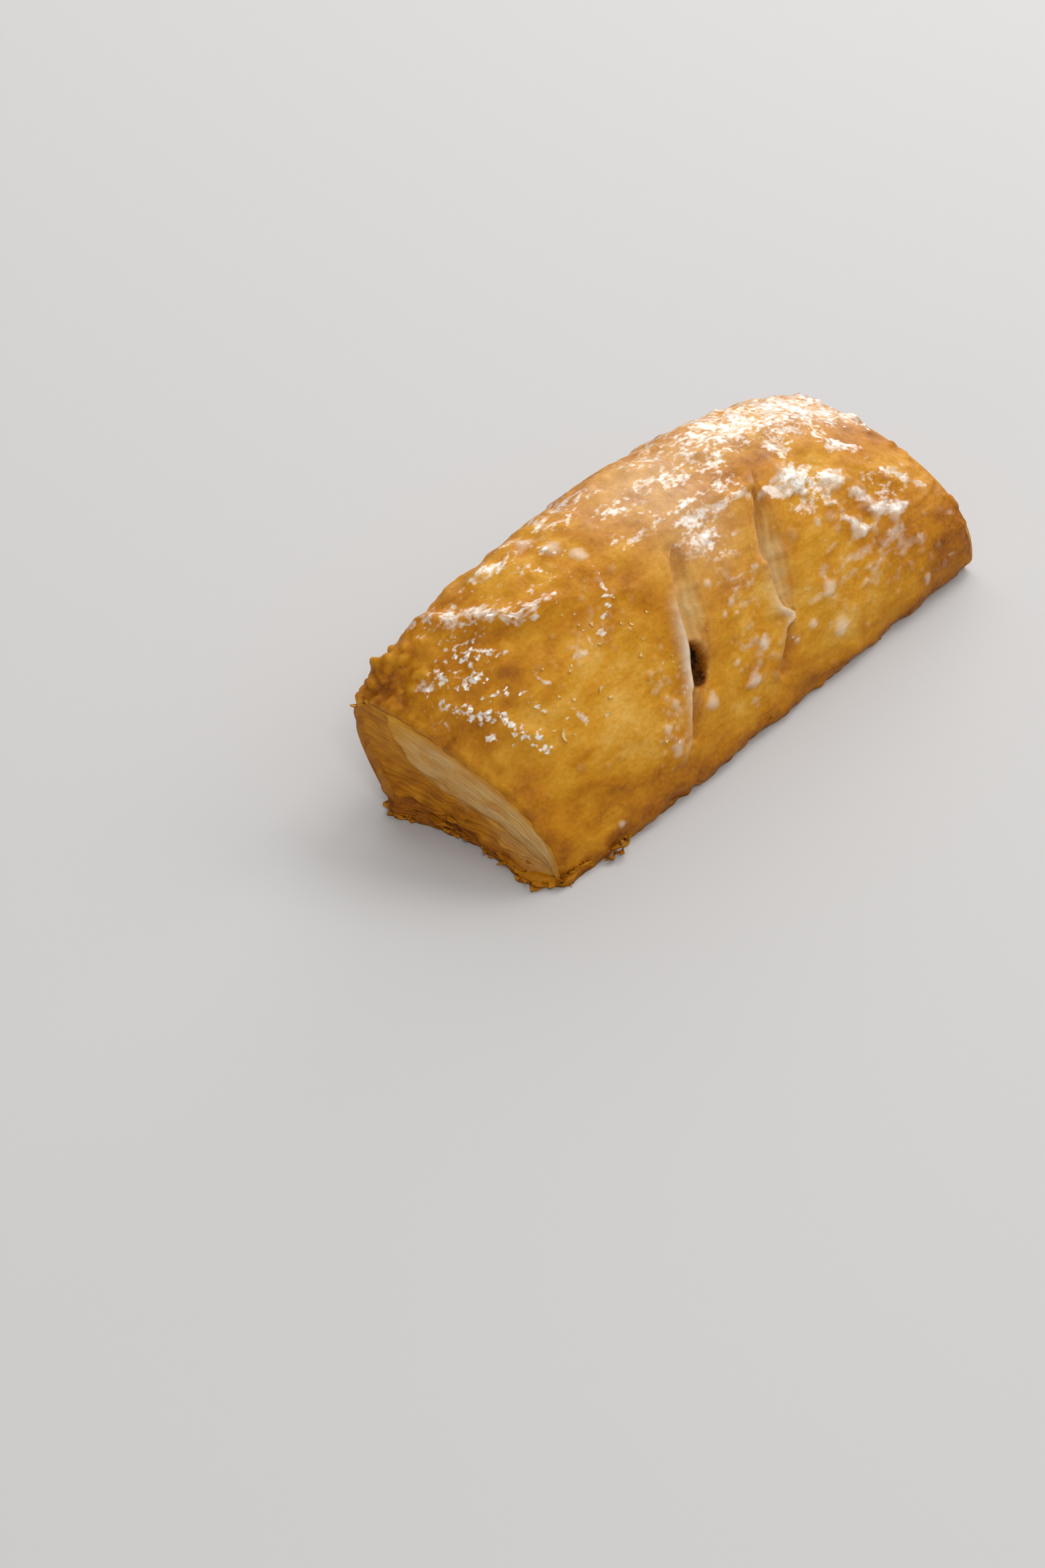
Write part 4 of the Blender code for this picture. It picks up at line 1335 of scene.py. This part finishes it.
def add_crumb(spot, yaw, ranges, number):
    """Lays a crumb that points to `yaw`, in degrees, and draws its sizes from the ranges."""
    length, reach, bake_value, lift, thickness, curl = (chance.uniform(*part) for part in ranges)
    run, outward = direction(yaw + 90), direction(yaw, lift)
    add_flake(crumbs, spot, run, outward, (length, reach), thickness, curl, (bake_value, 0.0), number)


for number in range(SIDE_CRUMBS):
    right_side = chance.random() < 0.72
    along = -1 + 1.99 * chance.random() ** 2.4
    if not right_side and along < -0.8:
        continue
    foot = crust_at(np.array(along), np.array(0.006 if right_side else 0.994))
    facing = -90 if right_side else 90
    spot = foot + np.array([0, 0.5 * MM if right_side else -0.5 * MM, chance.uniform(0.1, 1.6) * MM])
    add_crumb(spot, facing + chance.gauss(0, 25), SIDE_CRUMB, number)
for number in range(END_CRUMBS):
    y = MIDDLE.y + chance.uniform(-0.46, 0.30) * WIDE
    edge = end_x(y, -1) - float(foot_out(np.array([y]), -1)[0]) * MM
    spot = np.array([edge + 0.7 * MM, y, low.z + chance.uniform(0.2, 1.7) * MM])
    add_crumb(spot, 180 + chance.gauss(0, 28), END_CRUMB, number)

# %% Crumbs listed one by one
# place, turn in degrees, lift, length, reach, thickness and curl in mm, browning, paleness
OWN_CRUMBS = (
    (-62.4, 21.4, 20.4, 168, 0.45, 2.6, 1.8, 0.35, 0.3, 0.40, 0.20),
    (-44.0, -23.6, 1.2, -80, 0.60, 1.6, 2.2, 0.45, 1.2, 0.48, 0.10),
    (-45.6, -23.5, 0.9, -110, 0.20, 2.2, 1.6, 0.40, 0.6, 0.60, 0.0),
    (-47.5, -23.2, 0.8, -95, 0.10, 2.8, 1.3, 0.40, 0.4, 0.66, 0.0),
    (-62.0, 13.2, 0.5, 165, 0.0, 3.2, 1.5, 0.80, 0.3, 0.60, 0.0),
    (-62.2, 15.4, 0.9, 150, 0.2, 2.6, 1.2, 0.80, 0.5, 0.52, 0.05),
    (-61.6, 10.4, 0.5, 185, 0.0, 3.0, 1.2, 0.70, 0.2, 0.62, 0.0),
    (-60.7, -17.6, 0.3, 200, 0.0, 3.4, 1.6, 0.45, 0.2, 0.56, 0.05),
)
for number, (x, y, z, yaw, lift, *facts) in enumerate(OWN_CRUMBS, 200):
    length, reach, thickness, curl, *browning = facts
    spot, run, outward = np.array([x, y, z]) * MM, direction(yaw + 90), direction(yaw, lift)
    add_flake(crumbs, spot, run, outward, (length, reach), thickness, curl, browning, number)
finish_piece(crumbs, "foot_crumbs", bare_layers)

# %% Slivers stuck in the glaze: along, ring, turn in degrees, length, width and curl in mm
SLIVERS = (
    (-0.656, 0.337, 40, 1.3, 0.5, 0.5),
    (-0.640, 0.345, 100, 0.9, 0.4, 0.2),
    (-0.612, 0.280, 20, 2.4, 0.6, 0.6),
    (-0.600, 0.262, 150, 1.6, 0.5, 0.5),
    (-0.644, 0.237, 10, 2.0, 1.0, 0.2),
    (-0.784, 0.260, 65, 3.6, 0.6, 0.7),
    (-0.428, 0.283, 80, 1.2, 0.6, 0.3),
    (-0.400, 0.300, 20, 0.8, 0.4, 0.3),
    (-0.336, 0.333, 110, 1.0, 0.5, 0.3),
    (-0.560, 0.420, 30, 1.1, 0.3, 0.3),
    (-0.530, 0.405, 0, 1.0, 0.3, 0.3),
    (-0.430, 0.345, 95, 1.4, 0.4, 0.5),
    (-0.405, 0.335, 120, 1.5, 0.4, 0.5),
    (-0.700, 0.300, 140, 1.2, 0.4, 0.4),
)
# small ones strewn round a line: how many, how far they stray, the line, then least and most of the rest
STREWN = (18, 7.0, ((-0.80, 0.34), (-0.55, 0.33), (-0.35, 0.26)))
STREWN_SIZES = ((0, 180), (0.5, 1.3), (0.25, 0.5), (0.1, 0.4))
SLIVER_THICKNESS, SLIVER_CURL = 0.06, 0.25
SLIVER_BROWNING = (0.02, 0.28)
SLIVER_LIFT = 0.04 * MM
slivers = bmesh.new()
chance = random.Random(3)
strewn = [(*spot, *(chance.uniform(*part) for part in STREWN_SIZES)) for spot in strew(*STREWN, chance)]
for number, (along, ring, degrees, length, width, curl) in enumerate((*SLIVERS, *strewn)):
    along, ring = np.array(along), np.array(ring)
    row = np.abs(rows - ring).argmin()
    column = np.abs(along_net[:, row] - along).argmin()
    spot, up = crust_points[column, row], out_net[column, row]
    run = direction(degrees)
    run = run - (run @ up) * up
    run /= np.linalg.norm(run)
    outward = np.cross(up, run)
    size, lift = (length, width), SLIVER_CURL * curl
    spot = spot + up * SLIVER_LIFT
    add_flake(slivers, spot, run, outward, size, SLIVER_THICKNESS, lift, SLIVER_BROWNING, number + 0.3)
finish_piece(slivers, "glaze_slivers", bare_layers)

# %% [markdown]
# ## Floor, light and camera
#
# The bar stands on a plain pale floor in a pale room. Large soft windows behind it give the glare on the
# ridge and the soft shadow before it, and weaker ones on the camera's side fill the slope and the cut end.

# %% Floor and room
scene = bpy.context.scene
FLOOR_SIZE = 40 * LONG
FLOOR_COLOUR, FLOOR_ROUGHNESS, FLOOR_SPECULAR = (0.50, 0.49, 0.485, 1), 0.7, 0.2
ROOM_COLOUR, ROOM_STRENGTH = (1.0, 0.99, 0.98, 1), 0.25
floor_mesh = bmesh.new()
bmesh.ops.create_grid(floor_mesh, x_segments=1, y_segments=1, size=FLOOR_SIZE / 2)
bmesh.ops.translate(floor_mesh, verts=floor_mesh.verts, vec=(0, 0, low.z - CLEARANCE))
floor_data = bpy.data.meshes.new("floor")
floor_mesh.to_mesh(floor_data)
floor_mesh.free()
floor = bpy.data.objects.new("floor", floor_data)
scene.collection.objects.link(floor)
floor_paint = bpy.data.materials.new("pale_floor")
floor_paint.use_nodes = True
paint = floor_paint.node_tree.nodes["Principled BSDF"]
paint.inputs["Base Color"].default_value = FLOOR_COLOUR
paint.inputs["Roughness"].default_value = FLOOR_ROUGHNESS
paint.inputs["Specular IOR Level"].default_value = FLOOR_SPECULAR
floor_data.materials.append(floor_paint)
floor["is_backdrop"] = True

room = bpy.data.worlds.new("room")
room.use_nodes = True
scene.world = room
room.node_tree.nodes["Background"].inputs["Color"].default_value = ROOM_COLOUR
room.node_tree.nodes["Background"].inputs["Strength"].default_value = ROOM_STRENGTH
scene.view_settings.view_transform = "Standard"


# %% Lights: azimuth from +X towards +Y and elevation in degrees, distance, width and height in m, power in W
LIGHTS = {
    "window": (46, 33, 1.6, 1.8, 0.9, 11.5),
    "overhead": (50, 76, 1.6, 0.9, 0.7, 5),
    "skylight": (2, 50, 1.6, 0.8, 0.6, 9.4),
    "far_window": (22, 10, 1.6, 1.0, 0.4, 5),
    "side_window": (-24, 32, 1.6, 0.9, 0.8, 5.8),
    "lamp": (-134, 50, 1.6, 0.5, 0.36, 7),
    "room_fill": (285, 38, 2.4, 3.0, 2.6, 6),
    "near_fill": (190, 12, 1.8, 1.5, 0.8, 4.8),
}


def window(name, azimuth, elevation, distance, width, height, power):
    """A rectangle of light that faces the bar."""
    turn, tilt = math.radians(azimuth), math.radians(elevation)
    towards = Vector((math.cos(turn) * math.cos(tilt), math.sin(turn) * math.cos(tilt), math.sin(tilt)))
    lamp = bpy.data.lights.new(name, "AREA")
    lamp.shape = "RECTANGLE"
    lamp.size, lamp.size_y, lamp.energy = width, height, power
    light = bpy.data.objects.new(name, lamp)
    light.location = Vector((0, 0, TALL / 2)) + towards * distance
    light.rotation_euler = (-towards).to_track_quat("-Z", "Y").to_euler()
    scene.collection.objects.link(light)


for name, facts in LIGHTS.items():
    window(name, *facts)
print(len(LIGHTS), "lights")

# %% Camera
CAMERA_AZIMUTH, CAMERA_ELEVATION, CAMERA_DISTANCE = -49.9, 40.83, 0.549
LOOK_AT = Vector((-41.9 * MM, 1.6 * MM, low.z))
LENS, FILM_WIDTH, NEAREST = 70, 36, 0.01  # mm, mm, m
turn, tilt = math.radians(CAMERA_AZIMUTH), math.radians(CAMERA_ELEVATION)
back = Vector((math.sin(turn) * math.cos(tilt), -math.cos(turn) * math.cos(tilt), math.sin(tilt)))
camera = bpy.data.objects.new("camera", bpy.data.cameras.new("camera"))
camera.data.lens = LENS
camera.data.sensor_width = FILM_WIDTH
camera.data.clip_start = NEAREST
camera.location = LOOK_AT + back * CAMERA_DISTANCE
camera.rotation_euler = (-back).to_track_quat("-Z", "Y").to_euler()
scene.collection.objects.link(camera)
scene.camera = camera
print("camera at", [round(value, 3) for value in camera.location])

# %% Sizes, and the end
visual_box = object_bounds()
sizes = {"cad_box": [list(map(float, corner)) for corner in cad_box]}
sizes["visual_box"] = [list(map(float, corner)) for corner in visual_box]
for label, box in sizes.items():
    print(label, [[round(value * 1000, 1) for value in corner] for corner in box])
